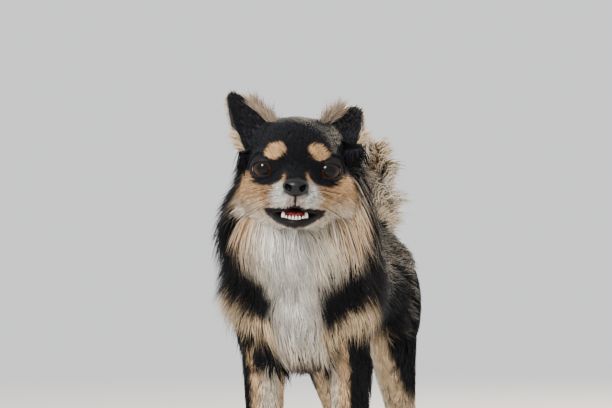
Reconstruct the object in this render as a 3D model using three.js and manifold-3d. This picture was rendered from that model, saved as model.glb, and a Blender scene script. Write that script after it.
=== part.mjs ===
// A long-coated chihuahua, life size, standing square with its head turned to its left.
// Millimetres, +Z up. The dog faces -Y and +X is its left side. The origin is on the floor
// under the middle of the dog's box.
import * as THREE from "three";
import { mergeVertices } from "three/addons/utils/BufferGeometryUtils.js";
import Module from "manifold-3d";

const wasm = await Module();
wasm.setup();

// Driving sizes.
const GAP = 0.3; // clearance between neighbouring pieces
const ELBOW_HEIGHT = 110;
const WRIST_HEIGHT = 36;
const HOCK_HEIGHT = 60;
const CHEST_HALF_WIDTH = 41;
const STANCE_FRONT = 33; // half the distance between the forelegs
const STANCE_REAR = 24; // half the distance between the hind legs
const FORELEG_Y = -57;
const HINDLEG_Y = 84;
const HEAD_CENTRE = new THREE.Vector3(10, -100, 254); // middle of the skull
const HEAD_TURN = THREE.MathUtils.degToRad(21); // to the dog's left
const HEAD_ROLL = THREE.MathUtils.degToRad(2);
const EYE_RADIUS = 9.6;
const EYE_SPACING = 21.6; // eye centre from the middle of the head
const LID_THICKNESS = 1.5;
const EAR_LENGTH = 58;
const EAR_HALF_WIDTH = 20; // along the bend of the cup
const EAR_THICKNESS = 2.4;
const TAIL_RADIUS = 8; // the tail's flesh, without its plume

const vec = (x, y, z) => new THREE.Vector3(x, y, z);
const up = vec(0, 0, 1);
const back = vec(0, 1, 0);
const mix = THREE.MathUtils.lerp;
const step = THREE.MathUtils.smoothstep;

// A small seeded random number in -1 to 1, the same in every run.
function seeded(seed) {
  let state = seed >>> 0;
  return () => {
    state = (Math.imul(state, 1664525) + 1013904223) >>> 0;
    return state / 2147483648 - 1;
  };
}

// Skin fields. A field gives the rough distance from a point to a form's surface, negative inside.
const ball = (centre, radii) => (p) => {
  const x = (p.x - centre[0]) / radii[0];
  const y = (p.y - centre[1]) / radii[1];
  const z = (p.z - centre[2]) / radii[2];
  const reach = Math.hypot(x, y, z);
  const slope = Math.hypot(x / radii[0], y / radii[1], z / radii[2]);
  return slope < 1e-9 ? -Math.min(...radii) : (reach * (reach - 1)) / slope;
};

const limb = (from, fromRadius, to, toRadius) => {
  const a = vec(...from);
  const along = vec(...to).sub(a);
  const span = along.lengthSq();
  return (p) => {
    const t = THREE.MathUtils.clamp(p.clone().sub(a).dot(along) / span, 0, 1);
    return p.distanceTo(a.clone().addScaledVector(along, t)) - mix(fromRadius, toRadius, t);
  };
};

// Forms run into each other over a fillet of the given size.
const blended = (forms, fillet) => (p) =>
  forms.reduce((near, form) => {
    const next = form(p);
    const overlap = Math.max(fillet - Math.abs(near - next), 0) / fillet;
    return Math.min(near, next) - (overlap * overlap * fillet) / 4;
  }, 1e6);

const both = (forms) => forms.flatMap((form) => [form(1), form(-1)]);

// The head has a frame of its own: its middle at the skull's middle, facing -Y.
const headFrame = new THREE.Matrix4()
  .makeRotationFromEuler(new THREE.Euler(0, HEAD_ROLL, HEAD_TURN, "ZYX"))
  .setPosition(HEAD_CENTRE);
const headFrameBack = headFrame.clone().invert();
const inHead = (x, y, z) => vec(x, y, z).applyMatrix4(headFrame);
const headTurned = (x, y, z) => vec(x, y, z).transformDirection(headFrame);
const headField = (field) => (p) => field(p.clone().applyMatrix4(headFrameBack));

const skull = headField(
  blended(
    [
      ball([0, 5, 1], [33, 34, 32]),
      ball([0, -14, 9], [25, 20, 22]),
      ...both([
        (side) => ball([side * 19, -4, -17], [16, 25, 17]),
        (side) => ball([side * EYE_SPACING, -17, -4], [12, 12.5, 12]),
        (side) => ball([side * 15, -27, -24], [12, 15, 11]),
        (side) => ball([side * 7, -43, -24], [9.5, 11, 9]),
      ]),
      limb([0, -22, -14], 15, [0, -46, -18], 10.5),
    ],
    7,
  ),
);

const jaw = headField(
  blended(
    [
      ...both([(side) => limb([side * 17, -6, -30], 8.5, [side * 7, -38, -37.5], 6.5)]),
      ball([0, -43, -38.5], [9, 8.5, 7]),
    ],
    6,
  ),
);

const neckForm = blended(
  [
    limb([7, -78, 236], 36, [2, -58, 186], 42),
    ball([4, -82, 206], [44, 38, 40]),
  ],
  14,
);

const trunk = blended(
  [
    ball([0, -50, 160], [CHEST_HALF_WIDTH, 48, 49]),
    ball([0, 0, 165], [37, 52, 43]),
    ball([0, 42, 170], [33, 42, 36]),
    ball([0, 68, 174], [32, 28, 34]),
  ],
  16,
);

const elbow = (side) => [side * STANCE_FRONT, FORELEG_Y + 4, ELBOW_HEIGHT];
const wrist = (side) => [side * STANCE_FRONT, FORELEG_Y - 2, WRIST_HEIGHT];
const foreleg = (side) =>
  blended(
    [
      ball([side * 33, -62, 142], [14.5, 22, 30]),
      limb(elbow(side), 13.5, wrist(side), 9.5),
      limb(wrist(side), 9.5, [side * STANCE_FRONT, FORELEG_Y - 7, 16], 9),
    ],
    10,
  );

const hindleg = (side) =>
  blended(
    [
      ball([side * 25, 64, 150], [15.5, 29, 36]),
      limb([side * 27, 50, 122], 16, [side * STANCE_REAR, HINDLEG_Y, HOCK_HEIGHT], 8.5),
      limb([side * STANCE_REAR, HINDLEG_Y, HOCK_HEIGHT], 8.5, [side * STANCE_REAR, HINDLEG_Y - 5, 17], 8),
    ],
    10,
  );

const tailPath = new THREE.CatmullRomCurve3([
  vec(0, 70, 194),
  vec(0, 85, 214),
  vec(0, 90, 238),
  vec(-3, 82, 258),
  vec(-9, 66, 270),
  vec(-17, 46, 273),
  vec(-24, 30, 266),
]);

// Everything the coat lies on.
const wholeSkin = blended(
  [trunk, neckForm, skull, ...both([foreleg, hindleg])],
  10,
);

function slopeOf(field, p) {
  const h = 0.4;
  return vec(
    field(vec(p.x + h, p.y, p.z)) - field(vec(p.x - h, p.y, p.z)),
    field(vec(p.x, p.y + h, p.z)) - field(vec(p.x, p.y - h, p.z)),
    field(vec(p.x, p.y, p.z + h)) - field(vec(p.x, p.y, p.z - h)),
  ).normalize();
}

// The point where a ray from inside a form comes out at the given height over its skin.
function comeOut(origin, direction, field, height) {
  const at = (t) => origin.clone().addScaledVector(direction, t);
  let far = 1;
  while (field(at(far)) < height && far < 120) far += 1.5;
  let near = Math.max(far - 1.5, 0);
  for (let i = 0; i < 10; i++) {
    const middle = (near + far) / 2;
    if (field(at(middle)) < height) near = middle;
    else far = middle;
  }
  return at(far);
}

// A geometry as a solid, its doubled vertices merged and its collapsed triangles dropped.
function solid(geometry) {
  geometry.deleteAttribute("normal");
  geometry.deleteAttribute("uv");
  const merged = mergeVertices(geometry, 1e-3);
  const corners = merged.index.array;
  const kept = [];
  for (let i = 0; i < corners.length; i += 3) {
    const [a, b, c] = corners.slice(i, i + 3);
    if (a !== b && b !== c && c !== a) kept.push(a, b, c);
  }
  return new wasm.Manifold(
    new wasm.Mesh({
      numProp: 3,
      vertProperties: merged.attributes.position.array,
      triVerts: new Uint32Array(kept),
    }),
  );
}

// Moves each vertex of a geometry by a function of its place.
function reshaped(geometry, place) {
  const position = geometry.attributes.position;
  const p = new THREE.Vector3();
  for (let i = 0; i < position.count; i++) {
    const moved = place(p.fromBufferAttribute(position, i).clone());
    position.setXYZ(i, moved.x, moved.y, moved.z);
  }
  return solid(geometry);
}

// A capsule along a spine whose every vertex is pushed out from the spine until it meets the skin.
function wrapped({ spine, field, sides, rows, capRows, height = 0, side = up }) {
  const capsule = new THREE.CapsuleGeometry(1, 1, capRows, sides, rows);
  return reshaped(capsule, (p) => {
    const t = THREE.MathUtils.clamp(p.y + 0.5, 0, 1);
    const origin = spine.getPoint(t);
    const along = spine.getTangent(t);
    const across = along.clone().cross(side).normalize();
    const over = across.clone().cross(along);
    const beyond = p.y + 0.5 - t;
    const direction = across
      .multiplyScalar(p.x)
      .addScaledVector(over, p.z)
      .addScaledVector(along, beyond)
      .normalize();
    return comeOut(origin, direction, field, height);
  });
}

const line = (...points) => new THREE.CatmullRomCurve3(points);

const box = (low, high) =>
  solid(
    new THREE.BoxGeometry(...high.map((h, i) => h - low[i])).translate(
      ...high.map((h, i) => (h + low[i]) / 2),
    ),
  );

const sphere = (centre, radii, sides = 20, rows = 14) =>
  solid(
    new THREE.SphereGeometry(1, sides, rows).scale(...radii).translate(...centre),
  );

const toWorld = (made) => made.transform(headFrame.elements);

// Joins solids and keeps the largest closed body.
function joined(solids) {
  return largest(wasm.Manifold.union(solids));
}

function largest(made) {
  const bodies = made.decompose();
  return bodies.sort((a, b) => b.volume() - a.volume())[0];
}

function less(made, cutters) {
  return largest(cutters.reduce((left, cutter) => left.subtract(cutter), made));
}

// Cores of the flesh pieces. "grow" swells a piece, to cut its neighbours clear of it.
const cores = {
  head: (grow) =>
    wrapped({
      spine: line(inHead(0, 12, 0), inHead(0, -14, -4), inHead(0, -40, -18)),
      field: skull, sides: 24, rows: 10, capRows: 4, height: grow,
    }),
  lower_jaw: (grow) =>
    wrapped({
      spine: line(inHead(0, -14, -32), inHead(0, -28, -35), inHead(0, -42, -38)),
      field: jaw, sides: 10, rows: 5, capRows: 2, height: grow,
    }),
  neck: (grow) =>
    wrapped({
      spine: line(vec(6, -80, 232), vec(4, -72, 208), vec(1, -62, 184)),
      field: neckForm, sides: 18, rows: 4, capRows: 3, height: grow, side: back,
    }),
  torso: (grow) =>
    wrapped({
      spine: line(vec(0, -56, 160), vec(0, 0, 166), vec(0, 66, 174)),
      field: trunk, sides: 20, rows: 10, capRows: 3, height: grow,
    }),
  foreleg: (side, grow) =>
    wrapped({
      spine: line(
        vec(side * 33, -60, 146),
        vec(side * STANCE_FRONT, FORELEG_Y + 4, ELBOW_HEIGHT),
        vec(side * STANCE_FRONT, FORELEG_Y - 2, WRIST_HEIGHT),
        vec(side * STANCE_FRONT, FORELEG_Y - 6, 18),
      ),
      field: foreleg(side), sides: 10, rows: 9, capRows: 3, height: grow, side: back,
    }),
  hindleg: (side, grow) =>
    wrapped({
      spine: line(
        vec(side * 25, 64, 156),
        vec(side * 27, 56, 124),
        vec(side * STANCE_REAR, HINDLEG_Y, HOCK_HEIGHT),
        vec(side * STANCE_REAR, HINDLEG_Y - 5, 18),
      ),
      field: hindleg(side), sides: 10, rows: 10, capRows: 3, height: grow, side: back,
    }),
};



// A flat, tapered lock: a four-sided cone laid along a path of { at, across, out } stations.
function lockAlong(stations, width, thickness, grow) {
  const segments = stations.length - 1;
  const extend = (end, next, by) =>
    end.at.addScaledVector(end.at.clone().sub(next.at).normalize(), by);
  extend(stations[0], stations[1], grow);
  extend(stations[segments], stations[segments - 1], 4 * grow);
  const cone = new THREE.ConeGeometry(1, 1, 4, segments);
  return reshaped(cone, (p) => {
    const t = p.y + 0.5;
    const station = stations[Math.round(t * segments)];
    const around = t < 0.999 ? 1 / (1 - t) : 0;
    return station.at
      .clone()
      .addScaledVector(station.across, p.x * around * ((leaf(t) * width) / 2 + 4 * grow))
      .addScaledVector(station.out, p.z * around * ((leaf(t) * thickness) / 2 + 2 * grow));
  });
}

// A lock is widest a third of the way along and narrows to its tip.
const leaf = (t) => 0.72 + 0.6 * t * (1 - t) - 0.5 * t * t;

// Stations of a lock that lies on the skin. It starts "sink" below the skin at its root and
// rises to "lift" over it at its tip, turning at each step to the lie of the coat.
function stationsOnSkin({ root, lie, length, sink, lift, segments }) {
  const stations = [];
  const p = root.clone();
  for (let i = 0; i <= segments; i++) {
    const t = i / segments;
    const out = slopeOf(wholeSkin, p);
    p.addScaledVector(out, mix(-sink, lift, Math.pow(t, 0.9)) - wholeSkin(p));
    const along = lie(p, out);
    along.addScaledVector(out, -along.dot(out)).normalize();
    const across = along.clone().cross(out).normalize();
    stations.push({ at: p.clone(), across, out });
    p.addScaledVector(along, length / segments);
  }
  return stations;
}

// A region of coat: every lock leaves its root along the lie, a little longer, wider or more
// turned than the next.
function coat({ roots, lie, length, width, thickness, lift, seed, sink = 3, segments = 3 }) {
  return (grow) => {
    const random = seeded(seed);
    return roots.map((root) => {
      const vary = 1 + 0.12 * random();
      const lean = 0.12 * random();
      const turned = (p, out) => {
        const way = lie(p, out);
        return way.clone().addScaledVector(way.cross(out), lean);
      };
      const stations = stationsOnSkin({
        root, lie: turned, length: length * vary, sink, lift: lift * vary, segments,
      });
      return lockAlong(stations, width * (1 + 0.1 * random()), thickness, grow);
    });
  };
}

// Roots on rings round a spine, every other ring turned by half a step, as tiles lie.
function ringRoots({ spine, field, rings, count, start = 0, sweep = 360, side = up }) {
  const roots = [];
  for (let i = 0; i < rings; i++) {
    const origin = spine.getPoint(i / (rings - 1));
    const along = spine.getTangent(i / (rings - 1));
    const across = along.clone().cross(side).normalize();
    const over = across.clone().cross(along);
    for (let j = 0; j < count; j++) {
      const angle = THREE.MathUtils.degToRad(start + (sweep * (j + 0.5 * (i % 2))) / count);
      const direction = across
        .clone()
        .multiplyScalar(Math.sin(angle))
        .addScaledVector(over, Math.cos(angle));
      roots.push(comeOut(origin, direction, field, 0));
    }
  }
  return roots;
}

// Roots that no other piece of flesh buries by more than its coat.
const exposed = (roots, others, room = 1) =>
  roots.filter((p) => others.every((field) => field(p) > room));

// Stations of a lock that leaves the skin freely, turning from one heading to another.
function stationsInAir({ root, from, to, length, out, segments }) {
  const stations = [];
  const p = root.clone();
  for (let i = 0; i <= segments; i++) {
    const along = from.clone().lerp(to, i / segments).normalize();
    const across = along.clone().cross(out).normalize();
    stations.push({ at: p.clone(), across, out: across.clone().cross(along).normalize() });
    p.addScaledVector(along, length / segments);
  }
  return stations;
}

// Lies of the coat: which way the hair points at a place on the skin.
const ruffLie = (p) => vec(p.x * 0.006, 0.35 + 0.25 * step(p.y, -95, -60), -1);
const bibLie = () => vec(0, 0.12, -1);
const flankLie = (p, out) => vec(0, 1, -0.15 - 0.75 * (1 - Math.abs(out.z)));
const legLie = () => vec(0, 0.45, -1);
const breechLie = () => vec(0, 0.5, -1);
const cheekLie = () => headTurned(0, 0.75, -0.65);

const ruff = coat({
  roots: exposed(
    ringRoots({
      spine: line(vec(9, -90, 238), vec(6, -78, 212), vec(2, -62, 184)),
      field: neckForm, rings: 3, count: 9, side: back,
    }),
    [skull, jaw],
  ),
  lie: ruffLie, length: 44, width: 37, thickness: 4, lift: 16, seed: 11,
});

const bib = coat({
  roots: exposed(
    ringRoots({
      spine: line(vec(0, -62, 170), vec(0, -54, 136)),
      field: trunk, rings: 2, count: 4, start: 95, sweep: 170, side: back,
    }),
    [neckForm],
    0,
  ),
  lie: bibLie, length: 38, width: 28, thickness: 3.6, lift: 8, seed: 12,
});

const flanks = coat({
  roots: exposed(
    exposed(
      ringRoots({
        spine: line(vec(0, -26, 163), vec(0, 24, 168), vec(0, 78, 174)),
        field: trunk, rings: 3, count: 7,
      }),
      both([foreleg, hindleg]),
      5,
    ),
    [neckForm],
  ),
  lie: flankLie, length: 50, width: 36, thickness: 3.4, lift: 6, seed: 13,
});

const sleeve = (side) =>
  coat({
    roots: exposed(
      ringRoots({
        spine: line(vec(side * 33, -60, 136), vec(...elbow(side)), vec(side * 33, FORELEG_Y, 72)),
        field: foreleg(side), rings: 2, count: 2, start: -30, sweep: 80, side: back,
      }),
      [trunk, neckForm],
    ),
    lie: legLie, length: 38, width: 18, thickness: 3, lift: 5, seed: 14,
  });

const breeches = (side) =>
  coat({
    roots: exposed(
      ringRoots({
        spine: line(vec(side * 25, 66, 168), vec(side * 26, 60, 126), vec(side * 24, 74, 88)),
        field: hindleg(side), rings: 3, count: 4, side: back,
      }),
      [trunk],
      3,
    ),
    lie: breechLie, length: 38, width: 25, thickness: 3.4, lift: 6, seed: 22,
  });

// Locks along a stretch of the tail, which fan outwards and hang.
const plume = ({ from, to, rows, count, spread, seed }) => (grow) => {
  const random = seeded(seed);
  const locks = [];
  for (let i = 0; i < rows; i++) {
    const t = mix(from, to, i / (rows - 1));
    const along = tailPath.getTangent(t);
    const across = along.clone().cross(vec(1, 0, 0)).normalize();
    const over = across.clone().cross(along).normalize();
    for (let j = 0; j < count; j++) {
      const angle = ((j + (i % 2) * 0.5) / count) * Math.PI * 2;
      const out = across
        .clone()
        .multiplyScalar(Math.sin(angle))
        .addScaledVector(over, Math.cos(angle));
      const start = out.clone().multiplyScalar(spread).addScaledVector(along, 0.9);
      const end = start.clone().addScaledVector(up, -0.55).addScaledVector(along, 0.3 * random());
      const root = tailPath.getPoint(t).addScaledVector(out, 4);
      const length = (38 + 8 * Math.sin(t * 3)) * (1 + 0.1 * random());
      const stations = stationsInAir({ root, from: start, to: end, out, length, segments: 3 });
      locks.push(lockAlong(stations, 24, 4, grow));
    }
  }
  return locks;
};

// Tufts of the cheeks, which lie over the ruff.
const cheeks = coat({
  roots: [1, -1].flatMap((side) =>
    [0, 1, 2].map((i) =>
      comeOut(
        inHead(side * 12, -2, -12),
        headTurned(side, 0.12 + 0.1 * (i % 2), 0.25 - 0.42 * i),
        skull,
        0,
      ),
    ),
  ),
  lie: cheekLie, length: 28, width: 20, thickness: 3.2, lift: 7, seed: 17,
});

// The flesh of a stretch of the tail.
const tailLength = (from, to) => (grow) => {
  const points = [0, 1, 2, 3, 4].map((i) => tailPath.getPoint(mix(from, to, i / 4)));
  const spine = line(...points);
  const field = (p) => {
    const near = spine.getPoints(16).map((q) => p.distanceTo(q));
    return Math.min(...near) - TAIL_RADIUS;
  };
  return wrapped({ spine, field, sides: 7, rows: 4, capRows: 1, height: grow, side: vec(1, 0, 0) });
};

// Eyes and what opens round them.
const eyeCentre = (side) => inHead(side * EYE_SPACING, -20, -4);
const gaze = (side) => headTurned(side * 0.38, -0.92, -0.03);
const eyeball = (side, grow) =>
  sphere(eyeCentre(side).toArray(), [1, 1, 1].map(() => EYE_RADIUS + grow), 14, 9);
const lidBall = (side, grow) =>
  sphere(eyeCentre(side).toArray(), [1, 1, 1].map(() => EYE_RADIUS + GAP + LID_THICKNESS + grow), 14, 9);

function lidOpening(side) {
  const turn = new THREE.Quaternion().setFromUnitVectors(vec(0, -1, 0), gaze(side));
  const centre = eyeCentre(side).addScaledVector(gaze(side), 11);
  return solid(
    new THREE.SphereGeometry(1, 12, 6)
      .scale(7.8, 9, 5.7)
      .applyQuaternion(turn)
      .translate(...centre.toArray()),
  );
}

const inHeadSphere = (centre, radii, sides, rows) => toWorld(sphere(centre, radii, sides, rows));

const mouthHollow = inHeadSphere([0, -42, -34], [10.5, 20, 6], 12, 6);

function nose(grow) {
  const pad = inHeadSphere([0, -55, -16.5], [9.2 + grow, 6.6 + grow, 6.6 + grow], 12, 8);
  const nostrils = [1, -1].map((side) => inHeadSphere([side * 4.7, -61.5, -17], [2.2, 4, 2.7], 8, 6));
  return grow ? pad : less(pad, nostrils);
}

const tongue = (grow) => inHeadSphere([0, -35, -37], [7.5 + grow, 14 + grow, 3 + grow], 10, 7);

// The lower lip's rim and the teeth behind it.
function lipRim(grow) {
  const path = line(
    inHead(-20, -20, -31), inHead(-15.5, -31, -34.5), inHead(-9, -43, -39), inHead(0, -49.5, -41),
    inHead(9, -43, -39), inHead(15.5, -31, -34.5), inHead(20, -20, -31),
  );
  const section = new THREE.Shape().absarc(0, 0, 2.1 + grow, 0, Math.PI * 2);
  return solid(new THREE.ExtrudeGeometry(section, { extrudePath: path, steps: 8, curveSegments: 2 }));
}

function teeth() {
  const made = [];
  for (let i = -3; i <= 3; i++) {
    if (i === 0) continue;
    const x = Math.sign(i) * (Math.abs(i) - 0.5) * 2.1;
    made.push(inHeadSphere([x, -47.6 + 0.05 * x * x, -38.5], [1, 0.9, 2.6], 5, 4));
  }
  for (const side of [1, -1]) made.push(inHeadSphere([side * 7.6, -44.6, -37.6], [1.4, 1.4, 4], 6, 4));
  return made;
}

// A cupped ear: a flattened ball whose breadth bends round its length.
function earCup({ base, tip, opening }, grow) {
  const along = tip.clone().normalize();
  const face = opening.clone().addScaledVector(along, -opening.dot(along)).normalize();
  const across = along.clone().cross(face).normalize();
  const root = base.clone().addScaledVector(along, 4).addScaledVector(face, 3);
  const flat = new THREE.SphereGeometry(1, 12, 8);
  const cup = reshaped(flat, (p) => {
    const s = Math.hypot(p.x, p.z);
    const t = 1 - Math.acos(THREE.MathUtils.clamp(p.y, -1, 1)) / Math.PI;
    const over = s > 1e-6 ? p.x / s : 0;
    const through = s > 1e-6 ? p.z / s : 0;
    const half = EAR_HALF_WIDTH * Math.max(Math.pow(1 - t, 0.72), 1e-4);
    const curl = mix(1.1, 0.6, t);
    const bend = half / curl;
    const radius = bend - through * (EAR_THICKNESS / 2 + grow);
    const angle = over * (curl + grow / bend);
    return base
      .clone()
      .addScaledVector(along, EAR_LENGTH * (t - 0.08) + grow * (2 * t - 1))
      .addScaledVector(across, Math.sin(angle) * radius)
      .addScaledVector(face, bend - Math.cos(angle) * radius);
  });
  return joined([cup, sphere(root.toArray(), [1, 1, 1].map(() => 8 + grow), 7, 5)]);
}

const earPose = {
  left: {
    base: inHead(27, 3, 17), tip: headTurned(14, 42, 23), opening: headTurned(0.36, -0.54, 0.76),
  },
  right: {
    base: inHead(-24, 3, 14), tip: headTurned(-24, 30, 33), opening: headTurned(-0.27, -0.8, 0.53),
  },
};

// Paws: a flat-soled pad with four toes and their claws.
function paw(x, y, length, grow) {
  const toes = [-1.5, -0.5, 0.5, 1.5].map((i) =>
    sphere(
      [x + i * 5.3, y - length * 0.32 + Math.abs(i) * 2.2, 6.3],
      [3.6 + grow, 8 + grow, 7.3 + grow], 6, 5,
    ),
  );
  const claws = [-1.5, -0.5, 0.5, 1.5].map((i) =>
    solid(
      new THREE.ConeGeometry(1.6 + grow, 8 + grow, 3)
        .rotateX(Math.PI * 0.62)
        .translate(x + i * 5.3, y - length * 0.32 - 8 + Math.abs(i) * 2.2, 5),
    ),
  );
  const instep = sphere([x, y + 2, 7.5], [10.5 + grow, length * 0.42 + grow, 11 + grow], 8, 5);
  const made = joined([instep, ...toes, ...claws]);
  return less(made, [box([x - 40, y - 60, -40], [x + 40, y + 60, grow ? -grow : 0])]);
}

const forepaw = (side, grow) => paw(side * STANCE_FRONT, FORELEG_Y - 9, 32, grow);
const hindpaw = (side, grow) => paw(side * STANCE_REAR, HINDLEG_Y - 8, 30, grow);

// Assembly, in order: each piece is cut clear of all that were made before it.
const dressed = (core, locks) => (grow) => joined([core(grow), ...locks(grow)]);

const makers = {
  eye_left: (grow) => eyeball(1, grow),
  eye_right: (grow) => eyeball(-1, grow),
  nose,
  tongue,
  head: (grow) => {
    const whole = joined([cores.head(grow), lidBall(1, grow), lidBall(-1, grow), ...cheeks(grow)]);
    return grow ? whole : less(whole, [lidOpening(1), lidOpening(-1), mouthHollow]);
  },
  lower_jaw: (grow) => {
    const whole = joined([cores.lower_jaw(grow), lipRim(grow)]);
    return grow ? whole : joined([less(whole, [mouthHollow]), lipRim(0), ...teeth()]);
  },
  ear_left: (grow) => earCup(earPose.left, 1.5 * grow),
  ear_right: (grow) => earCup(earPose.right, 1.5 * grow),
  neck: dressed(cores.neck, ruff),
  torso: dressed(cores.torso, (grow) => [...bib(grow), ...flanks(grow)]),
  forepaw_left: (grow) => forepaw(1, grow),
  forepaw_right: (grow) => forepaw(-1, grow),
  foreleg_left: dressed((grow) => cores.foreleg(1, grow), sleeve(1)),
  foreleg_right: dressed((grow) => cores.foreleg(-1, grow), sleeve(-1)),
  hindpaw_left: (grow) => hindpaw(1, grow),
  hindpaw_right: (grow) => hindpaw(-1, grow),
  hindleg_left: dressed((grow) => cores.hindleg(1, grow), breeches(1)),
  hindleg_right: dressed((grow) => cores.hindleg(-1, grow), breeches(-1)),
  tail_root: dressed(
    tailLength(0, 0.5),
    plume({ from: 0.16, to: 0.42, rows: 2, count: 3, spread: 0.25, seed: 16 }),
  ),
  tail_tip: dressed(
    tailLength(0.5, 1),
    plume({ from: 0.6, to: 0.97, rows: 3, count: 3, spread: 0.42, seed: 18 }),
  ),
};

const made = {};
const swollen = [];
for (const [name, make] of Object.entries(makers)) {
  made[name] = less(make(0), swollen);
  swollen.push(make(GAP));
}

// Colour and roughness of each part: a black coat with tan legs and jaw and a cream tail.
const BLACK_COAT = [0x1c1a1c, 0.7];
const TAN_COAT = [0xd9ac7a, 0.75];
const CREAM_COAT = [0xf1e4cf, 0.75];
const DARK_EYE = [0x26150d, 0.15];
const finishes = {
  eye_left: DARK_EYE, eye_right: DARK_EYE,
  nose: [0x08080b, 0.4], tongue: [0xc4545a, 0.3],
  head: BLACK_COAT, ear_left: BLACK_COAT, ear_right: BLACK_COAT,
  neck: BLACK_COAT, torso: BLACK_COAT,
  lower_jaw: CREAM_COAT, tail_root: CREAM_COAT, tail_tip: CREAM_COAT,
};

const group = new THREE.Group();
for (const [name, body] of Object.entries(made)) {
  const mesh = body.getMesh();
  const geometry = new THREE.BufferGeometry()
    .setAttribute("position", new THREE.BufferAttribute(mesh.vertProperties, 3))
    .setIndex(new THREE.BufferAttribute(mesh.triVerts, 1));
  const [color, roughness] = finishes[name] ?? TAN_COAT;
  const material = new THREE.MeshStandardMaterial({ color, roughness });
  const piece = new THREE.Mesh(geometry, material);
  piece.name = name;
  group.add(piece);
}

const span = new THREE.Box3().setFromObject(group);
const middle = span.getCenter(vec(0, 0, 0));
group.position.set(-middle.x, -middle.y, 0);
export default group;
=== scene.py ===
# %% [markdown]
# A long-coated chihuahua, standing, in black, tan and cream. The model arrives as a frame of plain
# solids in metres. Everything made here is placed from that frame, so that it fits without moving.

# %% The frame
import math

import bpy
import numpy as np
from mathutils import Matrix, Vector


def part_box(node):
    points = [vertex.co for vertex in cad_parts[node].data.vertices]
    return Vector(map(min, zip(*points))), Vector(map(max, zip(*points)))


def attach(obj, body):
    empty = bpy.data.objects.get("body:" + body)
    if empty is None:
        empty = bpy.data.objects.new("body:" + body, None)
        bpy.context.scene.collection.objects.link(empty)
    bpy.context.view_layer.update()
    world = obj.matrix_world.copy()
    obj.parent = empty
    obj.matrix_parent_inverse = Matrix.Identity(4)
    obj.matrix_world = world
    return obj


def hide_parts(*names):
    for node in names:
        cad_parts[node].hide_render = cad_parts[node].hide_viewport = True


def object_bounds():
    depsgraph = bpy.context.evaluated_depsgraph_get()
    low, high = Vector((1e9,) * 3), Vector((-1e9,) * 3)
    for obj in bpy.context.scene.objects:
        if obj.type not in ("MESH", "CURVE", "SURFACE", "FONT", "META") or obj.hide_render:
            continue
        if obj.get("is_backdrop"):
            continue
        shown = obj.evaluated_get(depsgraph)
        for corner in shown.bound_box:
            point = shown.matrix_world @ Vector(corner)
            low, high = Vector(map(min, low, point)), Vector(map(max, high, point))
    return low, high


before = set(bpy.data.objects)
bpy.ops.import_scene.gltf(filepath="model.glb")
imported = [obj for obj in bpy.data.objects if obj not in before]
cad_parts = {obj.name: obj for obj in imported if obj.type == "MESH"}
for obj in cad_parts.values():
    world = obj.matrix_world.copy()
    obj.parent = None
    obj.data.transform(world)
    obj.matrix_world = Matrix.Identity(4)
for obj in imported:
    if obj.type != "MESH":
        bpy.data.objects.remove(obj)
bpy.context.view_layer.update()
MM = 0.001
rng = np.random.default_rng(7)

# %% [markdown]
# The dog's own sizes are written in millimetres with the body facing -Y. The left eye's node says
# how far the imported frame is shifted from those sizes, so one offset carries every piece over.

# %% The dog's own frame
HEAD_CENTRE = np.array([10.0, -100.0, 254.0])
HEAD_TURN = math.radians(21)
HEAD_ROLL = math.radians(2)
EYE_PLACE = np.array([21.6, -20.0, -4.0])


def turn_of_head():
    """Rotation matrix of the head: a roll about its own Y axis, then a turn about Z."""
    cz, sz = math.cos(HEAD_TURN), math.sin(HEAD_TURN)
    cy, sy = math.cos(HEAD_ROLL), math.sin(HEAD_ROLL)
    about_z = np.array([[cz, -sz, 0], [sz, cz, 0], [0, 0, 1]])
    about_y = np.array([[cy, 0, sy], [0, 1, 0], [-sy, 0, cy]])
    return about_z @ about_y


HEAD = turn_of_head()


def in_head(points):
    """Points of the head's own frame, turned and moved to the dog's frame."""
    return np.asarray(points, float) @ HEAD.T + HEAD_CENTRE


def to_head(points):
    """Points of the dog's frame, moved and turned back to the head's own frame."""
    return (points - HEAD_CENTRE) @ HEAD


eye_low, eye_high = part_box("eye_left")
OFFSET = (np.array(eye_low) + np.array(eye_high)) / 2 - in_head(EYE_PLACE) * MM
print("offset of the packed frame, mm", np.round(OFFSET / MM, 2))


def packed(points):
    """Millimetres in the dog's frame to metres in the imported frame."""
    return np.asarray(points, float) * MM + OFFSET


# %% [markdown]
# The photo looks at the dog from its front left with a long lens, level with its muzzle. At the
# head one pixel of the 612 pixel wide picture is about 0.7 mm, which sets the lens for a chosen
# distance.

# %% Camera
CAMERA_AZIMUTH = math.radians(21)
CAMERA_DISTANCE = 2.6
PIXEL_AT_HEAD = 0.70 * MM
PICTURE_WIDTH = 612
AIM = np.array([16.1, -97.7, 226.3])

camera_data = bpy.data.cameras.new("camera")
camera_data.sensor_width = 36
camera_data.lens = 36 * CAMERA_DISTANCE / (PICTURE_WIDTH * PIXEL_AT_HEAD)
camera = bpy.data.objects.new("camera", camera_data)
bpy.context.collection.objects.link(camera)
towards_camera = np.array([math.sin(CAMERA_AZIMUTH), -math.cos(CAMERA_AZIMUTH), 0])
camera.location = packed(AIM) + CAMERA_DISTANCE * towards_camera
camera.rotation_euler = (math.pi / 2, 0, CAMERA_AZIMUTH)
bpy.context.scene.camera = camera

# %% [markdown]
# Skin, coat and markings all come from one description of the body. Each muscle mass is a ball or
# a tapered limb with a rough distance to its surface, and a smooth minimum runs them into each
# other the way skin stretches over muscle.

# %% Distance fields


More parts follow.
